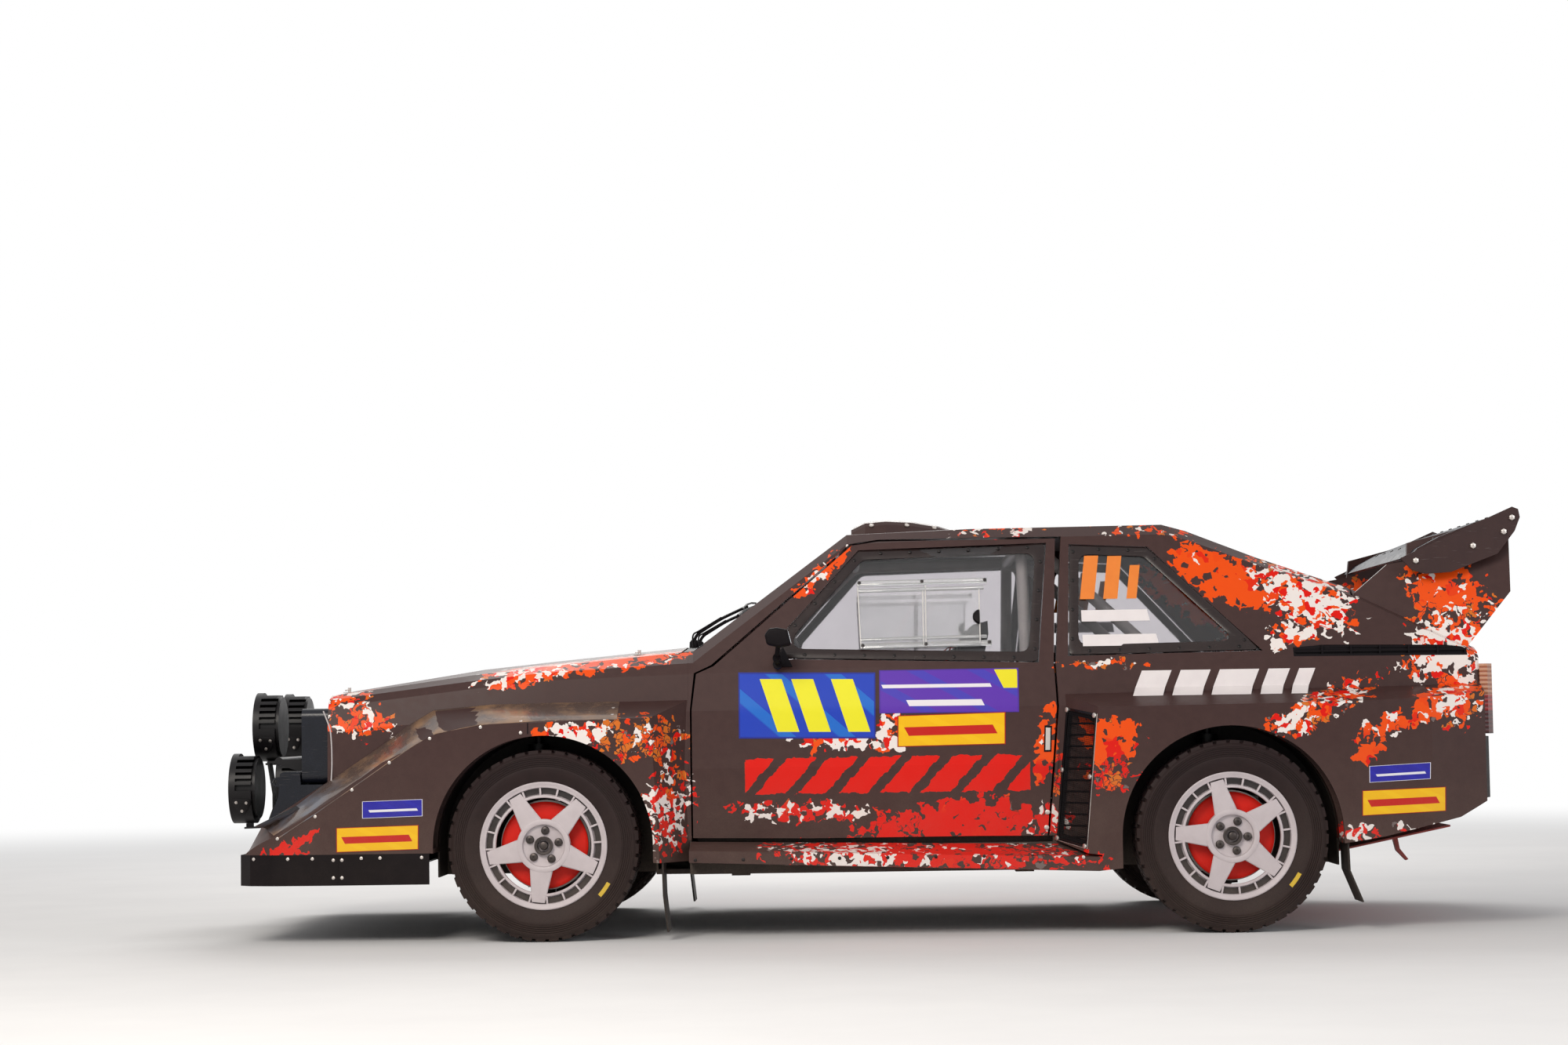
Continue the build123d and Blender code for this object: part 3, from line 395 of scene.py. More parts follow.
def makeTailMaterial():
    # lenses by height, from amber down to deep red, with a dark panel between the two lamps
    amberFrom, redFrom, lensFrom = 0.752, 0.700, 0.535
    material, place = newMaterial("tailLenses", Coat_Weight=0.3, Coat_Roughness=0.08, Specular_IOR_Level=0.25)
    flutes = wave(place, 22.0, wave_type="BANDS", bands_direction="Z")
    lines = wave(place, 6.0, wave_type="BANDS", bands_direction="Z", wave_profile="SAW")
    _, outboard, high = axesOf(place)
    amber, red, deep, panel = (share.mix(srgb(*dark), srgb(*light)) for share, dark, light in (
        (flutes, (150, 74, 34), (204, 150, 118)), (flutes, (120, 4, 6), (176, 16, 12)),
        (flutes, (58, 6, 8), (88, 10, 12)), (lines, (12, 12, 14), (26, 25, 28))))
    colour = high.step(redFrom, 0.002).mix(deep, high.step(amberFrom, 0.002).mix(red, amber))
    colour, dust = dusty(abs(outboard).step(lensFrom, 0.001).mix(panel, colour), place, 1.0, 0.12)
    return dressed(material, colour, dust * 0.4 + 0.14, flutes, 0.25, 0.002)


def makeGuardMaterial():
    material, place = newMaterial("guardStripRubber", Coat_Weight=0.5, Coat_Roughness=0.12)
    # painted highlights: where this cloud is high, the brown rubber gives way to amber and blue-grey patches of painted
    # reflection; the cloud also sets the roughness
    paintedGlintCloud = noise(place, 6.5, 5.0, 0.62)
    colour = noise(place, 4.0, 3.0, 0.5).step(0.56, 0.07).mix(srgb(150, 116, 86), srgb(92, 98, 112))
    colour = scratched(paintedGlintCloud.step(0.50, 0.12).mix(srgb(84, 68, 62), colour), place, 12.0, 0.4, srgb(150, 126, 104))
    height = use(grainGroup, place, Scale=60.0)[0]
    return dressed(material, dusty(colour, place, 0.9, 0.3)[0], paintedGlintCloud * 0.3 + 0.14, height, 0.12, 0.002)


def makeDiscRed():
    material, place = newMaterial("redDiscPaint", Roughness=0.42, Specular_IOR_Level=0.2)
    height, shade = use(grainGroup, place, Scale=500.0)
    colour = dusty(shade.mix(srgb(222, 18, 8), srgb(238, 34, 14)), place, 0.8, 0.12)[0]
    return dressed(material, colour, None, height)


def makePanelMaterial(name, base, accent, edge, bands):
    # printed film: soft slanted bands of an accent, broad upright bands and a thin border by the panel's own map
    material, place = newMaterial(name, Roughness=0.34, Specular_IOR_Level=0.25)
    u, v, _ = axesOf(put(place.tree, "ShaderNodeTexCoord", output="UV"))
    colour = ((u * 2.3 + v * 1.3).maths("FRACT").step(0.72, 0.03) * 0.6).mix(srgb(*base), srgb(*accent))
    leaning = u + v * 0.16
    for start, end, low, high, shade in bands:
        across = leaning.step(start, 0.002) * (1.0 - leaning.step(end, 0.002))
        upward = v.step(low, 0.004) * (1.0 - v.step(high, 0.004))
        colour = (across * upward).mix(colour, srgb(*shade))
    rim = abs(u - 0.5).step(0.49, 0.002).larger(abs(v - 0.5).step(0.475, 0.004))
    colour = dusty(rim.mix(colour, srgb(*edge)), place, 0.9, 0.25)[0]
    return dressed(material, colour, None, use(grainGroup, place, Scale=700.0)[0], 0.05, 0.0008)


def makeSeatCloth():
    material, place = newMaterial("seatCloth", Roughness=0.88, Specular_IOR_Level=0.2, Sheen_Weight=0.3)
    across, slanted = (wave(place, 260.0, 0.4, wave_type="BANDS", bands_direction=way) for way in ("Y", "DIAGONAL"))
    threads = across * slanted
    wear = noise(place, 7.0, 4.0, 0.6) * 0.35
    colour = wear.mix(threads.mix(srgb(20, 20, 24), srgb(46, 46, 54)), srgb(72, 68, 70))
    return dressed(material, colour, None, threads, 0.5, 0.0012)


def makeWebbing():
    material, place = newMaterial("harnessWebbing", Roughness=0.75, Specular_IOR_Level=0.2)
    ribs = wave(place, 190.0, wave_type="BANDS", bands_direction="Z")
    return dressed(material, ribs.mix(srgb(142, 10, 12), srgb(186, 22, 22)), None, ribs, 0.4, 0.0008)


def makeSuede():
    material, place = newMaterial("suedeGrip", Roughness=0.92, Specular_IOR_Level=0.2, Sheen_Weight=0.5)
    nap = noise(place, 420.0, 4.0, 0.7)
    rub = noise(place, 16.0, 3.0, 0.6) * 0.3
    colour = rub.mix(nap.mix(srgb(18, 18, 20), srgb(40, 39, 42)), srgb(66, 62, 60))
    return dressed(material, colour, None, nap, 0.35, 0.0008)


def makeDialMaterial():
    material, place = newMaterial("dialFaces", Roughness=0.3)
    rays = wave(place, 60.0, 1.5, wave_type="RINGS", rings_direction="X")
    return dressed(material, rays.step(0.93, 0.02).mix(srgb(16, 17, 20), srgb(206, 212, 210)), None, rays, 0.1, 0.0005)


# one finish for each of the record's slots
finishes = {
    "body_paint": makePaint(),
    "chassis_paint": plain("chassisPaint", (20, 18, 19), (36, 32, 32), 0.6, Specular_IOR_Level=0.25),
    "cage_paint": plain("cagePaint", (176, 172, 168), (204, 200, 196), 0.42, dustAmount=0.1),
    "black_plastic": plain("blackPlastic", (9, 6, 9), (19, 14, 18), 0.5, grainScale=700.0, bumpStrength=0.3,
                           dustAmount=0.06, Specular_IOR_Level=0.1),
    "gloss_dark": plain("glossDark", (8, 11, 20), (18, 22, 34), 0.24, scratch=0.15, dustAmount=0.08,
                        Specular_IOR_Level=0.3),
    "wing_dark": makeWingMaterial(),
    "clear_glass": makeGlass("clearPlexi", (0.70, 0.68, 0.70, 1), 1.0, 0.03),
    "lamp_glass": makeGlass("lampGlass", (0.92, 0.93, 0.95, 1), 0.9, 0.05),
    "lamp_body": plain("lampBody", (9, 8, 11), (20, 18, 21), 0.38, dustAmount=0.1, Specular_IOR_Level=0.25),
    "tail_lens": makeTailMaterial(),
    "flap_rubber": plain("flapRubber", (12, 11, 12), (26, 23, 24), 0.6, Specular_IOR_Level=0.2, dustAmount=0.2),
    "tyre": plain("tyreRubber", (28, 18, 19), (46, 33, 33), 0.6, grainScale=600.0, bumpStrength=0.35,
                  dustAmount=0.14, Specular_IOR_Level=0.18),
    "rim_alloy": plain("rimAlloy", (188, 178, 182), (212, 203, 206), 0.42, dustAmount=0.22, dustTop=0.7,
                       Specular_IOR_Level=0.35),
    "steel": plain("bareSteel", (132, 128, 126), (170, 166, 162), 0.36, Metallic=0.9),
    "iron": plain("castIron", (62, 58, 56), (92, 84, 80), 0.6, Metallic=0.6),
    "seat_fabric": plain("seatShellCloth", (26, 26, 30), (42, 42, 48), 0.85, grainScale=1200.0, bumpStrength=0.6),
    "tray_paint": plain("redTray", (140, 20, 16), (176, 34, 24), 0.45),
}
for node in nodes.values():
    for slot in node.material_slots:
        slot.material = finishes[slot.material.name]
for slot in nodes["suspension"].material_slots:      # springs and dampers in black enamel
    slot.material = finishes["lamp_body"]
for slot in nodes["headlamps"].material_slots:
    slot.material = makeFlutedLens("headlampLens", (0.16, 0.18, 0.22, 1), 9.0)

# finishes of small pieces
darkScrew = plain("darkScrew", (20, 18, 19), (44, 40, 40), 0.35, Metallic=0.7, dustAmount=0.1)
brightRivet = plain("brightRivet", (186, 178, 172), (214, 206, 200), 0.35, Metallic=0.85, dustAmount=0.1)
nutSteel = plain("darkNut", (38, 36, 38), (66, 62, 62), 0.34, Metallic=0.8, dustAmount=0.3)
markYellow = plain("markYellow", (206, 170, 30), (226, 190, 44), 0.55, dustAmount=0.3)
blackBorder = plain("windowBorder", (30, 20, 21), (44, 32, 31), 0.24, scratch=0.1, dustAmount=0.12, dustTop=1.2,
                    Specular_IOR_Level=0.3)
edgeTape = plain("paneEdge", (190, 186, 184), (220, 216, 214), 0.4, dustAmount=0.1)
glossBlack = plain("glossBlackTrim", (6, 6, 9), (14, 14, 18), 0.26, dustAmount=0.05, Specular_IOR_Level=0.2)
wornEdge = plain("wornEdge", (150, 140, 136), (196, 186, 180), 0.4, Metallic=0.5, dustAmount=0.1)
silverDish = plain("silverDish", (150, 152, 158), (190, 192, 198), 0.2, grainScale=90.0, bumpStrength=0.05,
                   dustAmount=0.0, Metallic=0.95)
# pale colour of the nose seal, partly a painted highlight along the fender's front edge
paleSealHighlight = plain("paleSealHighlight", (170, 164, 166), (206, 200, 200), 0.35, dustAmount=0.1)
mirrorSilver = plain("mirrorSilver", (214, 218, 222), (226, 230, 234), 0.12, grainScale=60.0, bumpStrength=0.02,
                     dustAmount=0.0, Metallic=1.0)
paleFilm = plain("paleFilm", (196, 192, 188), (216, 212, 208), 0.4, dustAmount=0.4, dustTop=1.0)
burntSteel = plain("burntSteel", (74, 62, 58), (130, 112, 100), 0.4, Metallic=0.85, dustAmount=0.3)
whiteFlash = plain("whiteFlash", (226, 218, 220), (240, 234, 234), 0.38, dustAmount=0.3, dustTop=1.0)
orangeFlash = plain("orangeFlash", (226, 120, 34), (238, 134, 44), 0.4, dustAmount=0.1)
panelGrey = plain("switchPanelPaint", (24, 24, 27), (46, 46, 50), 0.34, grainScale=300.0, dustAmount=0.0)
coverRed = plain("engineCoverPaint", (150, 20, 14), (184, 34, 22), 0.5, grainScale=260.0, bumpStrength=0.4,
                 dustAmount=0.2)
print("finishes made:", len(finishes))


def onlySelect(piece):
    bpy.ops.object.select_all(action="DESELECT")
    piece.select_set(True)
    bpy.context.view_layer.objects.active = piece


@contextmanager
def editing(piece, mode="FACE", chosen=None):
    # edit mode with all selected, or with the faces or edges that pass the test
    onlySelect(piece)
    bpy.ops.object.mode_set(mode="EDIT")
    bpy.ops.mesh.select_mode(type=mode)
    bpy.ops.mesh.select_all(action="DESELECT" if chosen else "SELECT")
    if chosen:
        bpy.ops.object.mode_set(mode="OBJECT")
        for part in piece.data.polygons if mode == "FACE" else piece.data.edges:
            part.select = chosen(part)
        bpy.ops.object.mode_set(mode="EDIT")
    yield
    bpy.ops.object.mode_set(mode="OBJECT")


def settle(piece):
    onlySelect(piece)
    bpy.ops.object.transform_apply(location=True, rotation=True, scale=True)
    return piece


def placed(piece, place):
    piece.location = place
    return settle(piece)


def rotated(piece, degrees, axis):
    piece.data.transform(Matrix.Rotation(math.radians(degrees), 4, axis))
    return piece


def applyModifier(piece, kind, **settings):
    onlySelect(piece)
    modifier = piece.modifiers.new(kind.lower(), kind)
    for key, value in settings.items():
        setattr(modifier, key, value)
    bpy.ops.object.modifier_apply(modifier=modifier.name)
    return piece


def bevelled(piece, width, segments=2, **settings):
    return applyModifier(piece, "BEVEL", width=width, segments=segments, limit_method="ANGLE", **settings)


def outwards(piece):
    with editing(piece):
        bpy.ops.mesh.remove_doubles(threshold=0.00002)
        bpy.ops.mesh.select_all(action="SELECT")
        bpy.ops.mesh.normals_make_consistent(inside=False)
    return piece


def sunk(piece, chosen, rim, by):
    # moves the chosen faces inside a rim
    with editing(piece, chosen=chosen):
        bpy.ops.mesh.inset(thickness=rim)
        bpy.ops.mesh.extrude_region_move(TRANSFORM_OT_translate={"value": by})
    return piece


def addBlock(low, high, bevel=0.0, segments=2):
    bpy.ops.mesh.primitive_cube_add(size=1, location=[(a + b) / 2 for a, b in zip(low, high)])
    piece = bpy.context.object
    piece.scale = [abs(b - a) for a, b in zip(low, high)]
    settle(piece)
    if bevel:
        with editing(piece, "EDGE"):
            bpy.ops.mesh.bevel(offset=bevel, segments=segments)
    return piece


def addPath(points, fill="NOTHING"):
    # closed outline through the points
    bpy.ops.mesh.primitive_circle_add(vertices=len(points), radius=1, fill_type=fill, location=(0, 0, 0))
    piece = bpy.context.object
    for vertex, point in zip(piece.data.vertices, points):
        vertex.co = point
    return piece


def addPlate(corners, depth, bevel=0.0):
    # flat outline with a wall along depth
    piece = addPath(corners, "NGON")
    with editing(piece):
        bpy.ops.mesh.extrude_region_move(TRANSFORM_OT_translate={"value": depth})
    outwards(piece)
    if bevel:
        with editing(piece, "EDGE"):
            bpy.ops.mesh.bevel(offset=bevel, segments=2)
    return piece


def addSheet(rows):
    # quad sheet whose points are given row by row
    across, along = len(rows[0]) - 1, len(rows) - 1
    bpy.ops.mesh.primitive_grid_add(x_subdivisions=across, y_subdivisions=along, size=2, location=(0, 0, 0))
    piece = bpy.context.object
    for vertex in piece.data.vertices:
        i, j = round((vertex.co.x + 1) / 2 * across), round((vertex.co.y + 1) / 2 * along)
        vertex.co = rows[j][i]
    return piece


def skin(rows, wall, bevel=0.0, offset=1.0):
    # sheet with a wall
    piece = applyModifier(outwards(addSheet(rows)), "SOLIDIFY", thickness=wall, offset=offset)
    return bevelled(piece, bevel) if bevel else piece


def turned(profile, steps=72, scale=1000):
    # profile in mm as (offset along the axle, radius), turned about Y
    piece = addPath([(0, across / scale, radius / scale) for across, radius in profile])
    with editing(piece, "EDGE"):
        bpy.ops.mesh.spin(steps=steps, angle=math.tau, center=(0, 0, 0), axis=(0, 1, 0))
    return outwards(piece)


def turnedThin(profile, steps=72):
    # turned large and scaled after, so that close points don't merge; laid along X, its front ahead
    piece = turned(profile, steps, 1)
    piece.data.transform(Matrix.Scale(0.001, 4))
    return rotated(piece, -90, "Z")


def spunCopies(piece, count):
    with editing(piece):
        bpy.ops.mesh.spin(steps=count, angle=math.tau, dupli=True, center=(0, 0, 0), axis=(0, 1, 0))
    return outwards(piece)


def joined(pieces):
    onlySelect(pieces[0])
    for piece in pieces[1:]:
        piece.select_set(True)
    if len(pieces) > 1:
        bpy.ops.object.join()
    return pieces[0]


def copyOf(piece):
    twin = piece.copy()
    twin.data = piece.data.copy()
    scene.collection.objects.link(twin)
    return twin


def scattered(template, spots):
    # copies of the template at (place, normal), joined into one piece; the template's own axis is Z
    copies = []
    for place, normal in spots:
        twin = copyOf(template)
        twin.matrix_world = Matrix.Translation(place) @ Vector(normal).to_track_quat("Z", "Y").to_matrix().to_4x4()
        copies.append(twin)
    return settle(joined(copies))


def finished(piece, name, slot, material=None, body="car_body", angle=35):
    settle(piece)
    if angle:
        bpy.ops.object.shade_smooth_by_angle(angle=math.radians(angle))
    piece.name = name
    piece.data.name = name
    piece.data.materials.clear()
    piece.data.materials.append(material or finishes[slot])
    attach(piece, body)
    return piece


def otherSide(piece):
    twin = copyOf(piece)
    twin.parent = None
    twin.matrix_world = Matrix.Identity(4)
    twin.data.transform(Matrix.Scale(-1, 4, (0, 1, 0)))
    twin.data.flip_normals()
    return twin


def bothSides(piece, name, slot, material=None, body="car_body", angle=35):
    twin = otherSide(piece)
    left = finished(piece, "left" + name, slot, material, body, angle)
    return left, finished(twin, "right" + name, slot, material, body.replace("left", "right"), angle)


def hitOn(node, origin, direction):
    hit, place, normal, _ = nodes[node].ray_cast(Vector(origin), Vector(direction))
    return (place, normal) if hit else None


def hitsOn(node, origins, direction):
    return [spot for spot in (hitOn(node, origin, direction) for origin in origins) if spot]


def onTop(node, x, y, lift=0.0):
    spot = hitOn(node, at(x, y, 1600), (0, 0, -1))
    return spot[0] + spot[1] * lift if spot else None


def touch(node, x, z):
    # place and normal on the car's left face; of several nodes the outermost counts
    names = (node,) if isinstance(node, str) else node
    spots = [spot for spot in (hitOn(name, at(x, 1300, z), (0, -1, 0)) for name in names) if spot]
    return max(spots, key=lambda spot: spot[0].y) if spots else None


def raised(node, x, z, lift):
    spot = touch(node, x, z)
    return spot[0] + spot[1] * lift if spot else None


def inQuad(corners, u, v):
    (ax, az), (bx, bz), (cx, cz), (dx, dz) = corners
    return ((ax + (bx - ax) * u) * (1 - v) + (dx + (cx - dx) * u) * v,
            (az + (bz - az) * u) * (1 - v) + (dz + (cz - dz) * u) * v)


def quadOn(node, corners, lift, wall, parts=(1, 1), bevel=0.0):
    # four-sided plate laid on a face; parts are its divisions
    across, along = parts
    return skin([[raised(node, *inQuad(corners, i / across, j / along), lift) for i in range(across + 1)]
                 for j in range(along + 1)], wall, bevel)


def quadsOn(node, quads, lift, wall, parts):
    return joined([quadOn(node, corners, lift, wall, parts) for corners in quads])


def bandOn(outer, inner, onto, wall, bevel=0.0):
    # closed band between two outlines; a point beyond the face takes the row's first place on it
    rows = []
    for share in (0.0, 0.5, 1.0):
        row = [onto(x0 + (x1 - x0) * share, y0 + (y1 - y0) * share) for (x0, y0), (x1, y1) in zip(outer, inner)]
        known = next(place for place in row if place)
        row = [place or known for place in row]
        rows.append(row + row[:1])
    return skin(rows, wall, bevel)


def beadOn(points, node, width, lift=0.0003, wall=0.0012):
    # thin strip along a path on a face
    rows = [[], []]
    for index, (x, z) in enumerate(points):
        ahead, behind = points[min(index + 1, len(points) - 1)], points[max(index - 1, 0)]
        run = Vector((ahead[0] - behind[0], ahead[1] - behind[1])).normalized()
        for row, sign in zip(rows, (-0.5, 0.5)):
            row.append(raised(node, x - run.y * width * sign, z + run.x * width * sign, lift))
    return skin(rows, wall)


def shrunk(points, by):
    # moves each side of an outline inwards
    middleX, middleZ = (sum(values) / len(points) for values in zip(*points))
    lines = []
    for (x0, z0), (x1, z1) in zip(points, [*points[1:], points[0]]):
        run = Vector((x1 - x0, z1 - z0)).normalized()
        side = Vector((-run.y, run.x))
        if side.dot(Vector((middleX - x0, middleZ - z0))) < 0:
            side = -side
        lines.append((Vector((x0, z0)) + side * by, run))
    corners = []
    for index in range(len(points)):
        (p, r), (q, t) = lines[index - 1], lines[index]
        share = ((q.x - p.x) * t.y - (q.y - p.y) * t.x) / (r.x * t.y - r.y * t.x)
        corners.append((p.x + r.x * share, p.y + r.y * share))
    return corners


def arc(start, corner, end, parts):
    shares = [part / parts for part in range(parts + 1)]
    return [(1 - t) ** 2 * start + 2 * t * (1 - t) * corner + t ** 2 * end for t in shares]


def rounded(points, radius, parts=4):
    # outline with rounded corners
    ring = []
    for index, corner in enumerate(points):
        corner = Vector(corner)
        before = (Vector(points[index - 1]) - corner).normalized()
        after = (Vector(points[(index + 1) % len(points)]) - corner).normalized()
        reach = min(radius / math.tan(before.angle(after) / 2), radius * 1.6)
        ring += arc(corner + before * reach, corner, corner + after * reach, parts)
    return ring


def eased(points, radius=0.02, parts=5):
    # open path in space with its corners rounded
    points = [Vector(point) for point in points]
    path = points[:1]
    for before, corner, after in zip(points, points[1:], points[2:]):
        start = corner + (before - corner).normalized() * min(radius, (before - corner).length / 2)
        end = corner + (after - corner).normalized() * min(radius, (after - corner).length / 2)
        path += arc(start, corner, end, parts)
    return path + points[-1:]


def addTube(points, radius):
    if len(points) == 2:
        points = [points[0], (Vector(points[0]) + Vector(points[1])) / 2, points[1]]
    piece = addPath(points)
    ends = {0, len(points) - 1}
    with editing(piece, "EDGE", lambda edge: set(edge.vertices) == ends):
        bpy.ops.mesh.delete(type="EDGE")
    onlySelect(piece)
    bpy.ops.object.convert(target="CURVE")
    curve = bpy.context.object.data
    curve.bevel_depth, curve.bevel_resolution, curve.use_fill_caps = radius, 2, True
    bpy.ops.object.convert(target="MESH")
    return outwards(bpy.context.object)


def alongPath(points, spacing, start):
    # evenly spaced points on an open path of (x, z)
    spots, carry = [], start
    for (x0, z0), (x1, z1) in zip(points, points[1:]):
        length = math.hypot(x1 - x0, z1 - z0)
        while carry <= length:
            share = carry / length
            spots.append((x0 + (x1 - x0) * share, z0 + (z1 - z0) * share))
            carry += spacing
        carry -= length
    return spots


def makeBolt(radius, height, sides=10, recess=False):
    bpy.ops.mesh.primitive_cylinder_add(vertices=sides, radius=radius, depth=height, location=(0, 0, height / 2))
    bolt = settle(bpy.context.object)
    with editing(bolt, chosen=lambda face: face.normal.z > 0.9):
        bpy.ops.mesh.bevel(offset=height * 0.55, segments=2)
    if recess:
        sunk(bolt, lambda face: face.normal.z > 0.95, radius * 0.25, (0, 0, -height * 0.5))
    return bolt


def fastened(name, template, node, points, lift=0.0, material=brightRivet, body="car_body"):
    # row of fasteners on a face of the car's left side, and on the other side
    spots = [spot for spot in (touch(node, x, z) for x, z in points) if spot]
    bothSides(scattered(template, [(place + normal * lift, normal) for place, normal in spots]),
              name, "steel", material, body)


rivetHead, screwHead = makeBolt(0.0058, 0.0024), makeBolt(0.0062, 0.0034, recess=True)
hexHead, domeHead = makeBolt(0.0085, 0.006, sides=6), makeBolt(0.0085, 0.0045, sides=16)
bigHex = makeBolt(0.011, 0.009, sides=6, recess=True)
templates = [rivetHead, screwHead, hexHead, domeHead, bigHex]
print("fastener heads modelled")

tyreSettings = {
    "side": ((-88, 190.5), (-93, 200), (-96, 212), (-101.5, 232), (-105.0, 248), (-104.6, 255)),
    "ribs": (259, 265.5, 272, 278.5, 285), "rib": ((-104.2, -2.2), (-107.0, -1.3), (-107.0, 1.3), (-104.2, 2.2)),
    "shoulder": ((-102.6, 289), (-98, 297), (-91, 301.2), (-84, 302.3)), "inside": ((84, 189.5), (-84, 189.5)),
    "base": 302.3, "top": 309.2, "blocks": 44, "rows": (-70, -23.5, 23.5, 70),
}


def makeTread():
    s = tyreSettings
    pitch = math.tau / s["blocks"]
    base, top = s["base"] / 1000 - 0.002, s["top"] / 1000
    length = 0.5 * pitch * s["base"] / 1000 * 0.78
    rows = []
    for index, row in enumerate(s["rows"]):
        across, outer, side = row / 1000, abs(row) > 50, 1 if row > 0 else -1
        half = 0.0185 if outer else 0.0205
        block = addBlock((-length, across - half, base), (length, across + half, top))
        for vertex in block.data.vertices:
            spot = vertex.co
            high = spot.z > base + 0.001
            if high:
                spot.x *= 0.9
                spot.y = across + (spot.y - across) * 0.92
            if outer and (spot.y - across) * side > 0:      # shoulder blocks reach down the sidewall
                spot.y += side * (0.0035 if high else 0.010)
                spot.z -= 0.0012 if high else 0.006
            spot.x += 0.09 * spot.y * (1 if index % 2 else -1)
        if index % 2:
            block.data.transform(Matrix.Rotation(pitch * 0.5, 4, "Y"))
        rows.append(block)
    return spunCopies(settle(joined(rows)), s["blocks"])


def makeTyre():
    s = tyreSettings
    side = list(s["side"])
    for radius in s["ribs"]:
        lean = (radius - 256) * 0.07
        side += [(across + lean, radius + by) for across, by in s["rib"]]
    side += s["shoulder"]
    otherWall = [(-across, radius) for across, radius in reversed(side)]
    return joined([turned([*side, *otherWall, *s["inside"]], 96), makeTread()])


wheelSettings = {      # profiles in mm: offset along the axle, radius
    "barrel": ((-98, 199), (-98, 205), (-96, 207), (-91, 207), (-89, 190.3), (0, 187), (89, 190.3), (91, 206),
               (94, 207), (98, 206.4), (99.8, 203.5), (98.6, 199), (96.4, 196), (95.6, 191), (94.8, 188.6),
               (90, 187.4), (76, 186.4), (73, 183), (73, 168), (76, 165), (90, 164), (93.0, 163), (93.8, 161),
               (93.6, 157), (91.6, 155), (80, 154.4), (70, 157), (60, 164), (-60, 176), (-94, 180)),
    "hub": ((-17.5, 20), (-17.5, 55), (54, 56), (56, 80), (60, 86), (91, 87), (95.2, 85.5), (96.4, 81), (96.0, 72),
            (94, 69), (82.5, 66.5), (81.5, 64), (81.5, 31), (84.5, 29.5), (92.5, 28.5), (94, 27), (94, 22),
            (92.5, 20.5), (70, 19.5), (70, 0.01), (-17.5, 0.01)),
    "cap": ((70, 0.1), (93.5, 0.1), (93.5, 11), (92.5, 12.5), (88, 13.5), (70, 14)),
    "collar": ((80.5, 30.5), (95.5, 30.2), (96.5, 28.5), (95.5, 20.5), (92.5, 20), (75, 20), (75, 30.5)),
    "pockets": ((76.2, 168.5), (78.5, 168.5), (78.5, 185.8), (76.2, 185.8)),
    "disc": ((34, 57), (43, 57), (44.5, 75), (44.5, 129), (43, 137), (40.5, 141), (34, 141)),
    "brake": ((6, 57), (18, 57), (18, 146), (15.5, 146), (15.5, 110), (8.5, 110), (8.5, 146), (6, 146)),
    "spokes": 5, "spokeEnds": ((72, 38.5), (183, 21.5)),      # radius and half width, then depth and squeeze
    "spokeRows": ((66, 0.80), (90.4, 1.0), (93.4, 0.92), (95.2, 0.0)),
    "ribs": 20, "rib": ((0.1625, 0.0725, -0.0030), (0.1885, 0.0915, 0.0030)), "boltCircle": 49,
}


def makeSpokes(firstTurn):
    s = wheelSettings
    rows = [[(x / 1000, depth / 1000, half * squeeze / 1000) for x, half in s["spokeEnds"]]
            for depth, squeeze in s["spokeRows"]]
    rows += [[(x, y, -z) for x, y, z in row] for row in reversed(rows[:-1])]
    spoke = addSheet(rows)
    with editing(spoke, "EDGE"):
        bpy.ops.mesh.select_all(action="DESELECT")
        bpy.ops.mesh.select_non_manifold()
        bpy.ops.mesh.fill()
    return spunCopies(rotated(outwards(spoke), -firstTurn, "Y"), s["spokes"])


def makeRim(firstTurn):
    s = wheelSettings
    ribs = spunCopies(rotated(addBlock(*s["rib"], 0.0012), -firstTurn - 9, "Y"), s["ribs"])
    return joined([turned(s["barrel"], 96), turned(s["hub"], 60), makeSpokes(firstTurn), ribs])


def makeNuts(firstTurn):
    s = wheelSettings
    nut = rotated(makeBolt(0.0138, 0.011, sides=14, recess=True), -90, "X")
    nut.data.transform(Matrix.Translation((s["boltCircle"] / 1000, 0.0805, 0)))
    nuts = spunCopies(rotated(nut, -firstTurn - 36, "Y"), s["spokes"])
    return joined([nuts, turned(s["collar"], 48), turned(s["pockets"]), turned(s["cap"], 36)])


def makeSidewallMark():
    # small blank paint mark moulded on the sidewall
    turns = [math.radians(-120 - 4 * i) for i in range(4)]
    mark = addSheet([[(radius * math.sin(turn), 0.1035 + (radius - 0.2365) * 0.14, radius * math.cos(turn))
                      for turn in turns] for radius in (0.2365, 0.2495)])
    return outwards(applyModifier(mark, "SOLIDIFY", thickness=0.0012, offset=0.0))


wheelParts = (("Tyre", "tyre", None, 30), ("Rim", "rim_alloy", None, 32), ("WheelNuts", "steel", nutSteel, 35),
              ("RedDisc", "tray_paint", makeDiscRed(), 35), ("BrakeDisc", "steel", None, 35),
              ("SidewallMark", "tyre", markYellow, 35))
shared = [makeTyre(), turned(wheelSettings["disc"]), turned(wheelSettings["brake"]), makeSidewallMark()]
templates += shared
for place, firstTurn in (("front", 60), ("rear", 75)):
    own = [makeRim(firstTurn), makeNuts(firstTurn)]
    templates += own
    for side in ("left", "right"):
        centre = middle(f"{side}_{place}_tyre")
        label, body, made = side + place.capitalize(), f"{side}_{place}_wheel", []
        for source, (part, slot, material, angle) in zip(shared[:1] + own + shared[1:], wheelParts):
            twin = copyOf(source) if side == "left" else otherSide(source)
            twin.location = centre
            made.append(finished(twin, label + part, slot, material, body, angle))
        tyre, rimPiece = made[:2]
        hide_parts(f"{side}_{place}_tyre")
        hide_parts(f"{side}_{place}_wheel")
print("wheels and tyres made")

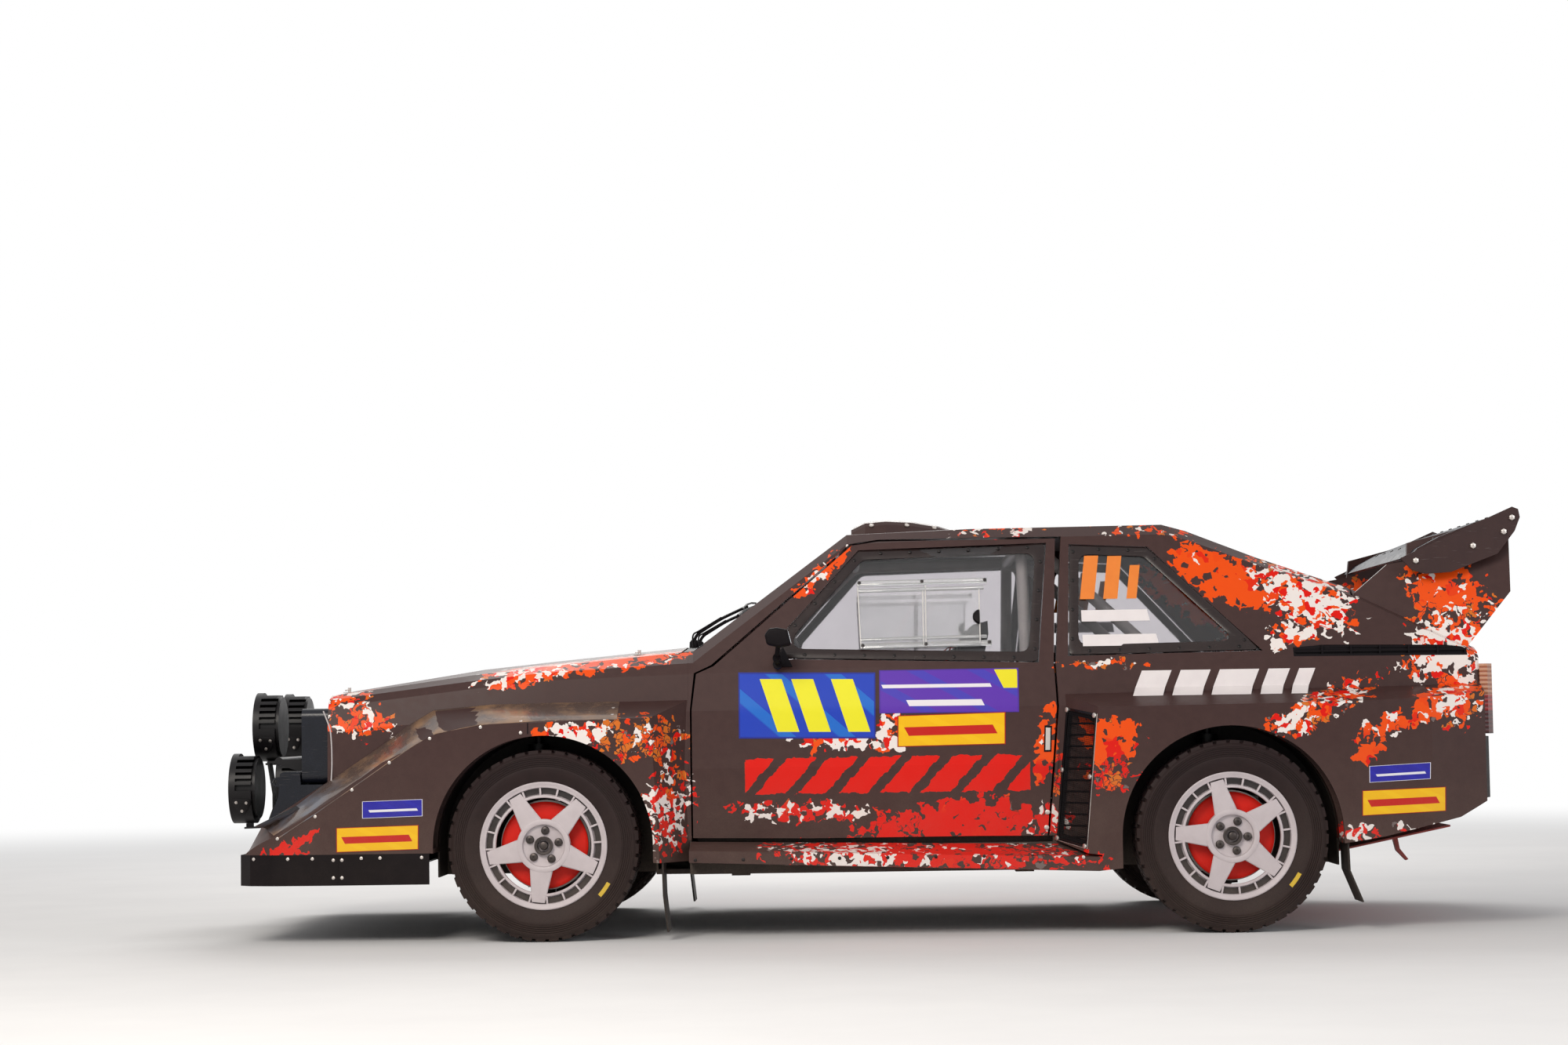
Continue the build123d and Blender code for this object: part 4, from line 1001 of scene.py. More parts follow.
guardSettings = {
    "upper": ((2048, 386), (1929, 447), (1840, 515), (1752, 572), (1658, 634), (1562, 704), (1478, 752), (1292, 768),
              (1100, 772), (868, 773)),
    "lower": ((1972, 346), (1860, 417), (1775, 474), (1690, 532), (1605, 590), (1520, 643), (1455, 676), (1318, 704),
              (1100, 713), (868, 716)),
    "lift": 0.0016, "wall": 0.0022, "jointX": 1157,
    "rivets": ((1975, 345), (1850, 415), (1729, 500), (1607, 586), (1475, 662), (1310, 696), (1180, 676), (1180, 713),
               (1020, 704), (885, 752), (885, 730)),
}


def makeGuardStrip():
    s = guardSettings
    rows = []
    for share in (0.0, 0.25, 0.5, 0.75, 1.0):
        points = [(x0 + (x1 - x0) * share, z0 + (z1 - z0) * share)
                  for (x0, z0), (x1, z1) in zip(s["lower"], s["upper"])]
        rows.append([raised("left_fender", x, z, s["lift"]) or at(x, 900, z) for x, z in points])
    return skin(rows, s["wall"], 0.0007)


bothSides(makeGuardStrip(), "GuardStrip", "black_plastic", makeGuardMaterial(), angle=40)
fastened("GuardRivets", rivetHead, "left_fender", guardSettings["rivets"])
flareJoint = [(guardSettings["jointX"], z) for z in (708, 690, 672)]
bothSides(beadOn(flareJoint, "left_fender", 3.2), "FlareJoint", "black_plastic")

skirtSettings = {
    "top": 279, "along": (2057, 1941, 1860, 1700, 1639, 1504), "jointX": 1776, "joint": (196, 230, 262, 288),
}
skirtScrews = [(x, skirtSettings["top"]) for x in skirtSettings["along"]]
besideJoint = [(skirtSettings["jointX"] + by, z) for by in (-13, 15) for z in (274, 217)]
fastened("SkirtScrews", rivetHead, "splitter", skirtScrews + besideJoint)
skirtJoint = [(skirtSettings["jointX"], z) for z in skirtSettings["joint"]]
bothSides(beadOn(skirtJoint, "splitter", 3.0), "SkirtJoint", "black_plastic")
frontRays = [Vector((3, y / 1000, skirtSettings["top"] / 1000)) for y in range(-780, 781, 130)]
finished(scattered(rivetHead, hitsOn("splitter", frontRays, (-1, 0, 0))), "frontSkirtScrews", "steel", brightRivet)
print("flare and skirt trim made")

windowSettings = {
    "Door": ("left_door_window", "left_door", ((-507, 880), (-550, 1282), (78, 1267), (315, 1010), (367, 905))),
    "Quarter": ("body_glass", "car_body", ((-1240, 908), (-887, 1263), (-625, 1276), (-604, 900))),
    "border": 34, "edgeGap": 3, "lift": 0.0008, "wall": 0.0022, "screwSpacing": 98,
}
for label in ("Door", "Quarter"):
    s = windowSettings
    node, body, corners = s[label]
    outer, inner = rounded(shrunk(corners, s["edgeGap"]), 16), rounded(shrunk(corners, s["border"]), 34)
    border = bandOn(outer, inner, lambda x, z: raised(node, x, z, s["lift"]), s["wall"], 0.0006)
    bothSides(border, label + "WindowBorder", "black_plastic", blackBorder, body)
    line = shrunk(corners, s["border"] * 0.42)
    screws = alongPath(line + line[:1], s["screwSpacing"], 30)
    fastened(label + "WindowScrews", screwHead, node, screws, s["wall"] + s["lift"], darkScrew, body)

slidingSettings = {
    "rails": (((84, 1149), (-348, 1153), 15), ((80, 1124), (-336, 1129), 10), ((76, 938), (-356, 944), 16),
              ((78, 960), (-340, 966), 8)),
    "panes": (((74, 932), (-140, 935), (-143, 1140), (82, 1138)),
              ((-132, 941), (-318, 944), (-320, 1126), (-134, 1123))),
    "lift": 0.004, "railWall": 0.010, "paneWall": 0.004, "knobPlace": (-322, 1030),
    "knob": ((0, 0.1), (0, 26), (6, 26.2), (11, 23.5), (13.5, 17), (14.5, 0.1)),
}


def makeRails():
    s = slidingSettings
    rails = []
    for (x0, z0), (x1, z1), high in s["rails"]:
        corners = ((x0, z0 - high / 2), (x1, z1 - high / 2), (x1, z1 + high / 2), (x0, z0 + high / 2))
        rails.append(quadOn("left_door_window", corners, s["lift"], s["railWall"], (4, 1), 0.0012))
    return joined(rails)


def makePaneEdges():
    s = slidingSettings
    ends = [(pane[index], pane[(index + 1) % 4]) for pane in s["panes"] for index in (1, 3)]
    quads = [((x0 - 2, z0), (x0 + 2, z0), (x1 + 2, z1), (x1 - 2, z1)) for (x0, z0), (x1, z1) in ends]
    return quadsOn("left_door_window", quads, s["lift"] + 0.0042, 0.0012, (1, 3))


def makeKnob():
    knob = turned(slidingSettings["knob"], 40)
    with editing(knob, "EDGE"):
        bpy.ops.mesh.bisect(plane_co=(0.004, 0, 0), plane_no=(1, 0, 0), clear_inner=True, use_fill=True)
    place, normal = touch("left_door_window", *slidingSettings["knobPlace"])
    upon = Vector((0, 1, 0)).rotation_difference(normal).to_matrix().to_4x4()
    knob.matrix_world = Matrix.Translation(place + normal * 0.0085) @ upon
    return settle(knob)


def makeDoorGlazing():
    s = slidingSettings
    railPlexi = makeGlass("railPlexi", (0.93, 0.94, 0.95, 1), 0.75, 0.08)
    panePlexi = makeGlass("panePlexi", (0.90, 0.91, 0.92, 1), 0.92, 0.05)
    bothSides(makeRails(), "PaneRails", "clear_glass", railPlexi, "left_door")
    panes = quadsOn("left_door_window", s["panes"], s["lift"], s["paneWall"], (2, 2))
    bothSides(panes, "SlidingPanes", "clear_glass", panePlexi, "left_door")
    bothSides(makePaneEdges(), "PaneEdges", "clear_glass", edgeTape, "left_door")
    bolts = [(x, z) for (x0, z0), (x1, z1), high in s["rails"] if high > 12
             for x, z in ((x0 - 8, z0), ((x0 + x1) / 2, (z0 + z1) / 2), (x1 + 8, z1))]
    fastened("PaneBolts", screwHead, "left_door_window", bolts, s["lift"] + s["railWall"], nutSteel, "left_door")
    bothSides(makeKnob(), "PaneKnob", "black_plastic", body="left_door")


makeDoorGlazing()
print("window trim made")

# plates are blank, panels hold plain bars: name, outline, film, divisions
plateSettings = {
    "left_door": (("NumberPanel", ((478, 646), (32, 640), (29, 855), (478, 862)), "blue", (8, 18)),
                  ("RosterPanel", ((18, 721), (-438, 719), (-440, 863), (16, 862)), "violet", (8, 14)),
                  ("DoorPlate", ((-39, 611), (-392, 615), (-394, 720), (-41, 713)), "yellow", (8, 8))),
    "left_fender": (("FrontPlate", ((1781, 299), (1514, 305), (1513, 384), (1781, 378)), "yellow", (14, 6)),
                    ("FrontSmallPlate", ((1696, 407), (1500, 412), (1500, 467), (1696, 462)), "navy", (12, 4))),
    "left_body_side": (("RearPlate", ((-1526, 369), (-1799, 380), (-1801, 458), (-1528, 450)), "yellow", (18, 6)),
                       ("RearSmallPlate", ((-1552, 475), (-1751, 484), (-1753, 537), (-1553, 528)), "navy", (14, 4))),
}
barYellow, barWhite = (238, 226, 40), (236, 232, 238)
panelFilms = {
    "blue": makePanelMaterial("bluePanel", (22, 62, 184), (26, 126, 214), (24, 44, 150), (
        (0.30, 0.46, 0.10, 0.90, (238, 232, 40)), (0.53, 0.69, 0.10, 0.90, (238, 232, 40)),
        (0.82, 0.98, 0.10, 0.90, (238, 232, 40)))),
    "violet": makePanelMaterial("violetPanel", (92, 48, 172), (52, 68, 186), (78, 44, 158), (
        (0.98, 1.14, 0.55, 0.98, barYellow), (0.12, 0.90, 0.58, 0.66, barWhite), (0.24, 0.78, 0.16, 0.30, barWhite))),
    "yellow": makePanelMaterial("yellowPanel", (246, 190, 4), (250, 200, 14), (168, 24, 14), (
        (0.16, 0.98, 0.34, 0.62, (196, 18, 8)),)),
    "navy": makePanelMaterial("navyPanel", (22, 24, 158), (28, 32, 172), (226, 226, 238), (
        (0.18, 0.98, 0.34, 0.48, (232, 232, 240)),)),
}
for node, plates in plateSettings.items():
    body = "left_door" if node == "left_door" else "car_body"
    for label, corners, film, parts in plates:
        bothSides(quadOn(node, corners, 0.0006, 0.0005, parts), label, "body_paint", panelFilms[film], body)
print("blank panels laid")

ductSettings = {
    "corners": ((804, 731), (926, 709), (926, 276), (804, 302)), "across": 24, "along": 66, "wire": 0.0012,
    "rim": 9, "wide": 153, "high": 430, "lean": (0.76, 0.0953), "turns": (
        (0, 0, 1, 1), (0.5, 0, 0, 1), (1, 0, -1, 1), (1, 0.5, -1, 0), (1, 1, -1, -1), (0.5, 1, 0, -1), (0, 1, 1, -1),
        (0, 0.5, 1, 0)),
    "bolts": ((0.04, 0.015), (0.93, 0.015), (0.03, 0.47), (0.93, 0.47), (0.04, 0.985), (0.93, 0.985)),
}
ductNormal = Vector((1, *ductSettings["lean"])).normalized()


def onDuct(u, v, lift):
    # place on the duct's slanted face
    leanY, leanZ = ductSettings["lean"]
    y, z = inQuad(ductSettings["corners"], u, v)
    return at(-590 - leanY * (y - 795) - leanZ * (z - 775), y, z) + ductNormal * lift


def makeDuctMesh():
    s = ductSettings
    rows = [[onDuct(0.04 + 0.92 * i / s["across"], 0.012 + 0.976 * j / s["along"], -0.0016)
             for i in range(s["across"] + 1)] for j in range(s["along"] + 1)]
    return applyModifier(outwards(addSheet(rows)), "WIREFRAME", thickness=s["wire"], use_even_offset=False)


def makeDuctFrame():
    s = ductSettings
    byU, byV = s["rim"] / s["wide"], s["rim"] / s["high"]
    outer = [onDuct(u + du * 0.006, v + dv * 0.002, -0.001) for u, v, du, dv in s["turns"]]
    inner = [onDuct(u + du * byU, v + dv * byV, -0.001) for u, v, du, dv in s["turns"]]
    return skin([outer + outer[:1], inner + inner[:1]], 0.003, 0.0008)


ductBolts = [(onDuct(u, v, 0.002), ductNormal) for u, v in ductSettings["bolts"]]
ductEdge = [onDuct(1.0, v / 12, 0.0006) for v in range(13)] + [onDuct(1.0 - u / 6, 1.0, 0.0006) for u in range(1, 7)]
bothSides(makeDuctMesh(), "DuctMesh", "black_plastic", glossBlack, angle=0)
bothSides(makeDuctFrame(), "DuctFrame", "black_plastic", glossBlack)
bothSides(scattered(domeHead, ductBolts), "DuctBolts", "steel", brightRivet)
bothSides(addTube(ductEdge, 0.0013), "DuctEdge", "body_paint", wornEdge)
print("duct grilles made")

lampPodSettings = {
    "places": (("leftUpper", 2155, 270, 706), ("rightUpper", 2155, -270, 706), ("leftLower", 2207, 430, 500),
               ("rightLower", 2207, -430, 500)),
    "dish": ((-5.6, 0.1), (-5.6, 20), (-5.0, 52), (-3.6, 84), (-1.6, 107.5), (-5.9, 107.5), (-5.95, 0.1)),
    "shade": ((-5.5, 0.1), (-5.5, 17), (-3.2, 19), (-2.4, 16), (-2.4, 0.1)),
    "lens": ((-1.6, 0.1), (-1.7, 60), (-2.2, 106), (-1.2, 107), (-0.5, 60), (-0.35, 0.1)),
    "ring": ((-3.0, 107), (-0.4, 107.4), (-0.2, 108.6), (-0.2, 112), (-1.6, 113), (-3.0, 112)),
    "plate": ((-30, 20), (26, 27), (32, 8), (8, -38), (-8, -38), (-34, 6)), "plateTilt": -27, "plateWall": 10,
    "seat": 110, "plateBehind": 0.043, "bolts": ((-17, 9), (17, 11), (0, -22)),
}


def makeSidePlate():
    s = lampPodSettings
    outline = [(x / 1000, s["seat"] / 1000, z / 1000) for x, z in rounded(s["plate"], 11, 4)]
    return rotated(addPlate(outline, (0, s["plateWall"] / 1000, 0), 0.0014), s["plateTilt"], "X")


def makePlateBolts():
    s = lampPodSettings
    tilt = Matrix.Rotation(math.radians(s["plateTilt"]), 4, "X")
    outer, normal = (s["seat"] + s["plateWall"]) / 1000, tilt @ Vector((0, 1, 0))
    return scattered(rivetHead, [(tilt @ Vector((x / 1000, outer, z / 1000)), normal) for x, z in s["bolts"]])


def makeLamp(label, place):
    s = lampPodSettings
    plate, bolts = makeSidePlate(), makePlateBolts()
    behind = place - Vector((s["plateBehind"], 0, 0))
    for piece, part, slot, material, spot in (
            (joined([turnedThin(s["dish"]), turnedThin(s["shade"], 32)]), "Dish", "steel", silverDish, place),
            (turnedThin(s["lens"]), "Lens", "lamp_glass", flutedLens, place),
            (turnedThin(s["ring"]), "TrimRing", "steel", nutSteel, place),
            (joined([plate, otherSide(plate)]), "SidePlates", "lamp_body", None, behind),
            (joined([bolts, otherSide(bolts)]), "PlateBolts", "steel", brightRivet, behind)):
        piece.location = spot
        finished(piece, label + "Lamp" + part, slot, material)


flutedLens = makeFlutedLens("flutedLens", (0.93, 0.94, 0.95, 1), 14.0)
for label, *place in lampPodSettings["places"]:
    makeLamp(label, at(*place))
print("night lamps made")

noseSettings = {
    "seal": ((1846, 756), (1830, 722), (1819, 694), (1815, 640), (1814, 580), (1815, 528)),
    "bezel": ((500, 544), (745, 544), (745, 739), (500, 739)), "glassFront": 1915.6,
    "mount": ((-30, 0.1), (-30, 9), (-20, 11.5), (0, 11.5), (4, 9.5), (12, 9.5), (12, 0.1)),
    "mounts": ((2024, 470, 458), (2024, 470, 506)),
}


def makeBezel():
    s = noseSettings
    outlines = rounded(shrunk(s["bezel"], -4), 14, 3), rounded(shrunk(s["bezel"], 7), 10, 3)
    return skin([[at(s["glassFront"], y, z) for y, z in ring + ring[:1]] for ring in outlines], 0.005, 0.0012, 0.0)


# seal tube along the fender's front edge, coloured pale: a real seal, and in part a painted edge highlight
sealSpots = [touch(("left_fender", "nose_panel"), x, z)[0] for x, z in noseSettings["seal"]]
seal = addTube(eased([place + Vector((0.001, 0.0010, 0)) for place in sealSpots]), 0.0024)
bothSides(seal, "NoseSealHighlight", "black_plastic", paleSealHighlight)
bothSides(makeBezel(), "HeadlampBezel", "gloss_dark")
mounts = [placed(rotated(turned(noseSettings["mount"], 24), -90, "Z"), at(*spot)) for spot in noseSettings["mounts"]]
bothSides(joined(mounts), "LampMounts", "steel", brightRivet)
print("nose trim made")

wingSettings = {"plateBolts": ((-1757, 1197), (-1946, 1243), (-2048, 1288), (-2076, 1334)), "plateY": 712.2}
wingBolts = [(at(x, wingSettings["plateY"], z), (0, 1, 0)) for x, z in wingSettings["plateBolts"]]
bothSides(scattered(bigHex, wingBolts), "WingPlateBolts", "steel", brightRivet, "boot_lid")
bladeRays = [at(x, y, 1600) for y in range(-640, 641, 160) for x in (-1830, -2040)]
bladeSpots = [spot for spot in hitsOn("wing", bladeRays, (0, 0, -1)) if spot[1].z > 0.4]
finished(scattered(screwHead, bladeSpots), "wingScrews", "steel", darkScrew, "boot_lid")

mirrorSettings = {
    "outline": ((299, 947), (312, 997), (346, 1004), (372, 1001), (387, 981), (380, 949), (340, 940)), "inner": 834,
    "outer": 925, "glass": ((840, 950), (919, 950), (919, 992), (840, 992)), "glassX": 301.5, "glassLean": 0.26,
    "corner": ((300, 876), (360, 876), (362, 908), (331, 942)),
    "tubes": ((((348, 800, 884), (350, 846, 906), (344, 862, 950)), 0.008),      # stalk, foot and ball
              (((348, 797, 884), (348, 812, 888)), 0.016), (((349, 838, 900), (350, 852, 910)), 0.013)),
}


def makeMirror():
    s = mirrorSettings
    outline = [at(x, s["inner"], z) for x, z in rounded(s["outline"], 12, 3)]
    shell = addPlate(outline, (0, (s["outer"] - s["inner"]) / 1000, 0))
    bevelled(shell, 0.009, 4, angle_limit=math.radians(60))
    return joined([shell] + [addTube(eased([at(*spot) for spot in spots]), radius) for spots, radius in s["tubes"]])


def makeMirrorGlass():
    s = mirrorSettings
    outline = [at(s["glassX"] + (z - 950) * s["glassLean"], y, z) for y, z in rounded(s["glass"], 9, 3)]
    return addPlate(outline, (-0.0022, 0, 0.0004), 0.0005)


mirrorPair = bothSides(makeMirror(), "MirrorShell", "black_plastic", None, "left_door", 40)
for piece, node in zip(mirrorPair, ("left_mirror", "right_mirror")):
    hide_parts(node)
bothSides(makeMirrorGlass(), "MirrorGlass", "steel", mirrorSilver, "left_door")
besideMirror = ("left_door_window", "left_door")
cornerPlate = quadOn(besideMirror, mirrorSettings["corner"], 0.0034, 0.0030, (3, 3), 0.0008)
bothSides(cornerPlate, "MirrorCorner", "black_plastic", body="left_door")
fastened("MirrorScrew", screwHead, besideMirror, ((346, 886),), 0.0066, body="left_door")

wiperSettings = {
    "pivots": (("left", 644, 330), ("right", 644, -70)), "bladeLift": 0.009,
    "cap": ((0, 0.1), (0, 17), (18, 16), (26, 10), (26, 0.1)),
}


def makeWiper(x, y):
    s = wiperSettings
    pivot = onTop("dashboard", x, y)
    knee = pivot + Vector((-0.002, 0.0, 0.040))
    tip = onTop("body_glass", x - 190, y - 170, 0.020)
    cap = placed(rotated(turned(s["cap"], 24), 90, "X"), pivot)
    hosePoints = [pivot + Vector((0.002, 0.022, 0)), pivot + Vector((0.006, 0.016, 0.045)),
                  knee + Vector((-0.01, -0.01, 0.014)), (knee + tip) / 2 + Vector((0, 0, 0.012))]
    hose = addTube(eased(hosePoints, 0.03), 0.003)
    arm = addTube(eased([pivot, knee, (knee + tip) / 2 + Vector((0, 0, 0.008)), tip], 0.03), 0.0055)
    shares = (0, 0.2, 0.4, 0.6, 0.8, 1.0)
    edge = [onTop("body_glass", x - 160 - 60 * t, y + 90 - 520 * t, s["bladeLift"]) for t in shares]
    edge = [point for point in edge if point]
    blade = addTube(edge, 0.006)
    over = zip((edge[1], edge[2], edge[3], edge[-2]), (0.012, 0.018, 0.018, 0.012))
    spine = addTube([point + Vector((0, 0, lift)) for point, lift in over], 0.0035)
    return joined([cap, hose, arm, blade, spine])


for label, x, y in wiperSettings["pivots"]:
    finished(makeWiper(x, y), label + "Wiper", "black_plastic", angle=40)
print("mirrors and wipers made")

tailSettings = {
    "plate": ((-250, 476), (250, 580)), "screwsY": (-760, -620, -420, -280, 280, 420, 620, 760), "screwsZ": (446, 598),
    "tip": ((-55, 27.2), (-55, 29), (4, 33), (8, 33), (8.5, 31), (4, 25.5), (-50, 22.5), (-52, 0.1), (-55, 0.1)),
    "tipPlace": (-1978, -330, 355),
}


def makeRearPlate():
    (y0, z0), (y1, z1) = tailSettings["plate"]
    face = hitOn("rear_bumper", at(-2300, 0, 528), (1, 0, 0))[0]
    depth = (face.x - midX) * 1000
    plate = addBlock(at(depth - 6, y0, z0), at(depth + 0.5, y1, z1), 0.002)
    return sunk(plate, lambda part: part.normal.x < -0.9, 0.006, (0.002, 0, 0))


finished(makeRearPlate(), "rearBlankPlate", "steel", paleFilm)
exhaustTip = placed(rotated(turned(tailSettings["tip"], 40), 90, "Z"), at(*tailSettings["tipPlace"]))
finished(exhaustTip, "exhaustTip", "steel", burntSteel)
rearRays = [at(-2200, y, z) for y in tailSettings["screwsY"] for z in tailSettings["screwsZ"]]
finished(scattered(rivetHead, hitsOn("rear_bumper", rearRays, (1, 0, 0))), "rearBumperScrews", "steel", brightRivet)

handleSettings = {
    "frame": ((-516, 588), (-540, 588), (-544, 672), (-520, 674)),
    "recess": ((-521, 594), (-536, 594), (-539, 666), (-524, 667)),
}
handleFrame = quadOn("left_door", handleSettings["frame"], 0.0004, 0.0012, (2, 4))
bothSides(handleFrame, "HandleFrame", "black_plastic", body="left_door")
handleRecess = quadOn("left_door", handleSettings["recess"], 0.0016, 0.0006, (2, 4))
bothSides(handleRecess, "HandleRecess", "steel", paleFilm, "left_door")
fastened("DoorFootBolts", domeHead, "left_door", ((-520, 342), (-524, 392)), body="left_door")
fastened("SillBoltsRear", rivetHead, "sill_boards", ((-629, 250), (-532, 262)))
fastened("SillRivets", rivetHead, "sill_boards", [(x, 258) for x in range(-465, 640, 155)], material=darkScrew)
scoopRays = [at(x, 1200, z) for x, z in ((29, 1373), (-94, 1373), (-190, 1366))]
bothSides(scattered(domeHead, hitsOn("roof_panel", scoopRays, (0, -1, 0))), "ScoopRivets", "steel", brightRivet)

hoodPinSettings = {
    "places": ((1800, 520), (1800, -520), (820, 520), (820, -520)),
    "loop": ((0, -0.016, 0.010), (0, 0.018, 0.010), (0.012, 0.020, 0.0085), (0.013, -0.012, 0.0075)),
}


def makeHoodPin(x, y):
    place = onTop("hood", x, y)
    plate = addTube([place + Vector((0, 0, 0.0004)), place + Vector((0, 0, 0.0026))], 0.021)
    post = addTube([place, place + Vector((0, 0, 0.017))], 0.0055)
    loop = addTube(eased([place + Vector(by) for by in hoodPinSettings["loop"]], 0.006), 0.0014)
    return joined([plate, post, loop])


hoodPins = joined([makeHoodPin(x, y) for x, y in hoodPinSettings["places"]])
finished(hoodPins, "hoodPins", "steel", brightRivet, "hood")
print("tail, handles and fasteners made")

screenSettings = {
    "windscreenBorder": ((583, 640), (583, -640), (158, -494), (158, 494)),
    "rearScreenBorder": ((-1500, 540), (-1500, -540), (-1062, -472), (-1062, 472)),
}
for name, corners in screenSettings.items():
    outer, inner = rounded(corners, 26), rounded(shrunk(corners, 34), 34)
    border = bandOn(outer, inner, lambda x, y: onTop("body_glass", x, y, 0.0008), 0.0016)
    finished(border, name, "black_plastic", blackBorder)

# plain flashes in place of the lettering: both ends of the foot, both heights, and how far each top end leans
flashSettings = {
    "QuarterFlash": ("left_body_side", whiteFlash, 0.0004, (3, 3), (
        (-808, -905, 765, 848, -35, -35), (-935, -1032, 765, 848, -35, -35), (-1062, -1190, 765, 848, -35, -35),
        (-1220, -1290, 765, 848, -35, -35), (-1320, -1372, 765, 848, -35, -35))),
    "WindowFlash": ("body_glass", orangeFlash, 0.0032, (1, 2), (
        (-653, -700, 1087, 1234, -22, -22), (-730, -777, 1087, 1232, -22, -22), (-807, -840, 1087, 1200, -18, -18))),
    "WindowBars": ("body_glass", whiteFlash, 0.0032, (2, 1), (
        (-655, -880, 1012, 1050, 0, 8), (-655, -905, 930, 968, 0, 8))),
}
for name, (node, material, lift, parts, flashes) in flashSettings.items():
    quads = [((x0, low), (x1, low), (x1 + lean1, high), (x0 + lean0, high))
             for x0, x1, low, high, lean0, lean1 in flashes]
    bothSides(quadsOn(node, quads, lift, 0.0004, parts), name, "body_paint", material)
print("borders and flashes laid")

# seats: padded cushions grown by cloth, and harness straps
seatSettings = {
    "middle": 370, "base": ((172, 371), (-104, 336)), "back": ((-152, 404), (-284, 948)), "halfWidth": 158,
    "baseWall": 30, "backWall": 24, "gap": 0.006, "voxel": 0.006, "pressure": 4.0, "frames": 20, "cap": 0.024,
    "fill": 0.8, "seams": 4,
}


def makeSlab(line, wall, up):
    # slab along the seat's shell, and the side it faces
    s = seatSettings
    (x0, z0), (x1, z1) = line
    run = Vector((x1 - x0, 0, z1 - z0)).normalized()
    normal = Vector((-run.z, 0, run.x))
    if normal.dot(Vector(up)) < 0:
        normal = -normal
    corners = [at(x, s["middle"] + side * s["halfWidth"], z) + normal * s["gap"]
               for x, z, side in ((x0, z0, -1), (x0, z0, 1), (x1, z1, 1), (x1, z1, -1))]
    return addPlate(corners, normal * (wall / 1000), 0.009), normal


def puffed(slab):
    # cloth blown up under gentle pressure, then held to the cap
    s = seatSettings
    pad = copyOf(slab)
    onlySelect(pad)
    pad.data.remesh_voxel_size = s["voxel"]
    bpy.ops.object.voxel_remesh()
    start = [vertex.co.copy() for vertex in pad.data.vertices]
    cloth = pad.modifiers.new("cloth", "CLOTH")
    cloth.settings.use_pressure = True
    cloth.settings.uniform_pressure_force = s["pressure"]
    cloth.settings.effector_weights.gravity = 0.0
    cloth.point_cache.frame_start, cloth.point_cache.frame_end = 1, s["frames"]
    for frameNumber in range(1, s["frames"] + 1):
        scene.frame_set(frameNumber)
    onlySelect(pad)
    bpy.ops.object.modifier_apply(modifier="cloth")
    scene.frame_set(1)
    for vertex, before in zip(pad.data.vertices, start):
        moved = vertex.co - before
        if moved.length > s["cap"]:
            vertex.co = before + moved.normalized() * s["cap"]
    return applyModifier(pad, "SUBSURF", levels=1, render_levels=1)


def quilted(pad, normal, line):
    # sewn channels across the pad, and two along it
    s = seatSettings
    start, end = (at(x, s["middle"], z) for x, z in line)
    run = end - start
    for vertex in pad.data.vertices:
        share = (vertex.co - start).dot(run) / run.length_squared
        side = abs((vertex.co.y - s["middle"] / 1000) / (s["halfWidth"] / 1000))
        front = (vertex.co - start).dot(normal)
        if front > 0.012 and side < 0.96:
            across = abs((share * (s["seams"] + 1)) % 1 - 0.5) * 2
            groove = (across - 0.86) / 0.14 if 0.03 < share < 0.97 else 0.0
            vertex.co -= normal * 0.005 * max(0.0, groove, 1 - abs(side - 0.62) / 0.05)
        if front < 0.004:
            vertex.co += normal * (0.004 - front)
    return pad


seatCloth = makeSeatCloth()
for part, up in (("base", (0, 0, 1)), ("back", (1, 0, 0))):
    line = seatSettings[part]
    slab, normal = makeSlab(line, seatSettings[part + "Wall"], up)
    templates.append(slab)
    label = {"base": "SeatCushion", "back": "SeatBackPad"}[part]
    for piece in bothSides(quilted(puffed(slab), normal, line), label, "seat_fabric", seatCloth, angle=0):
        onlySelect(piece)
        bpy.ops.object.shade_smooth()
print("seat pads grown")

harnessSettings = {
    "wide": 0.05, "crotch": 0.044, "wall": 0.0022, "proud": 0.046, "buckle": (20, 370, 418),
    "lock": ((0, 0.1), (0, 26), (4, 29), (12, 29), (17, 24), (19, 0.1)),
}


def makeStrap(points, width, across):
    # flat webbing along points, its width along the given direction
    side = Vector(across).normalized() * width / 2
    return skin([[point - side, point + side] for point in eased(points, 0.04, 4)], harnessSettings["wall"])


def makeHarness(buckle, proud):
    # from the cage over the pad, across the lap and between the legs to the buckle
    s = harnessSettings
    (footX, footZ), (headX, _) = seatSettings["back"]
    seatY = seatSettings["middle"]
    straps = []
    for side in (-1, 1):
        shoulder = [at(-352, seatY + side * 88, 905) + Vector((-0.02, 0, 0)),
                    at(headX + 6, seatY + side * 84, 962) + proud * 0.8,
                    at(headX + 30, seatY + side * 78, 860) + proud,
                    at(footX + 30, seatY + side * 44, footZ + 116) + proud * 1.3,
                    buckle + Vector((-0.006, side * 0.02, 0.004))]
        lap = [at(-70, seatY + side * 176, 400), at(-30, seatY + side * 150, 412), at(0, seatY + side * 90, 424),
               buckle + Vector((0, side * 0.02, 0))]
        straps += [makeStrap(shoulder, s["wide"], (0, 1, 0.05 * side)), makeStrap(lap, s["wide"], (1, 0, 0.3))]
    between = [at(seatSettings["base"][0][0] - 20, seatY, 408), at(90, seatY, 412), buckle]
    return joined(straps + [makeStrap(between, s["crotch"], (0, 1, 0))])


def makeBuckle(buckle):
    lock = rotated(turned(harnessSettings["lock"], 36), 90, "X")
    tongue = addBlock((-0.011, -0.036, 0.019), (0.011, 0.036, 0.024), 0.002)
    return placed(joined([lock, tongue]), buckle - Vector((0, 0, 0.002)))


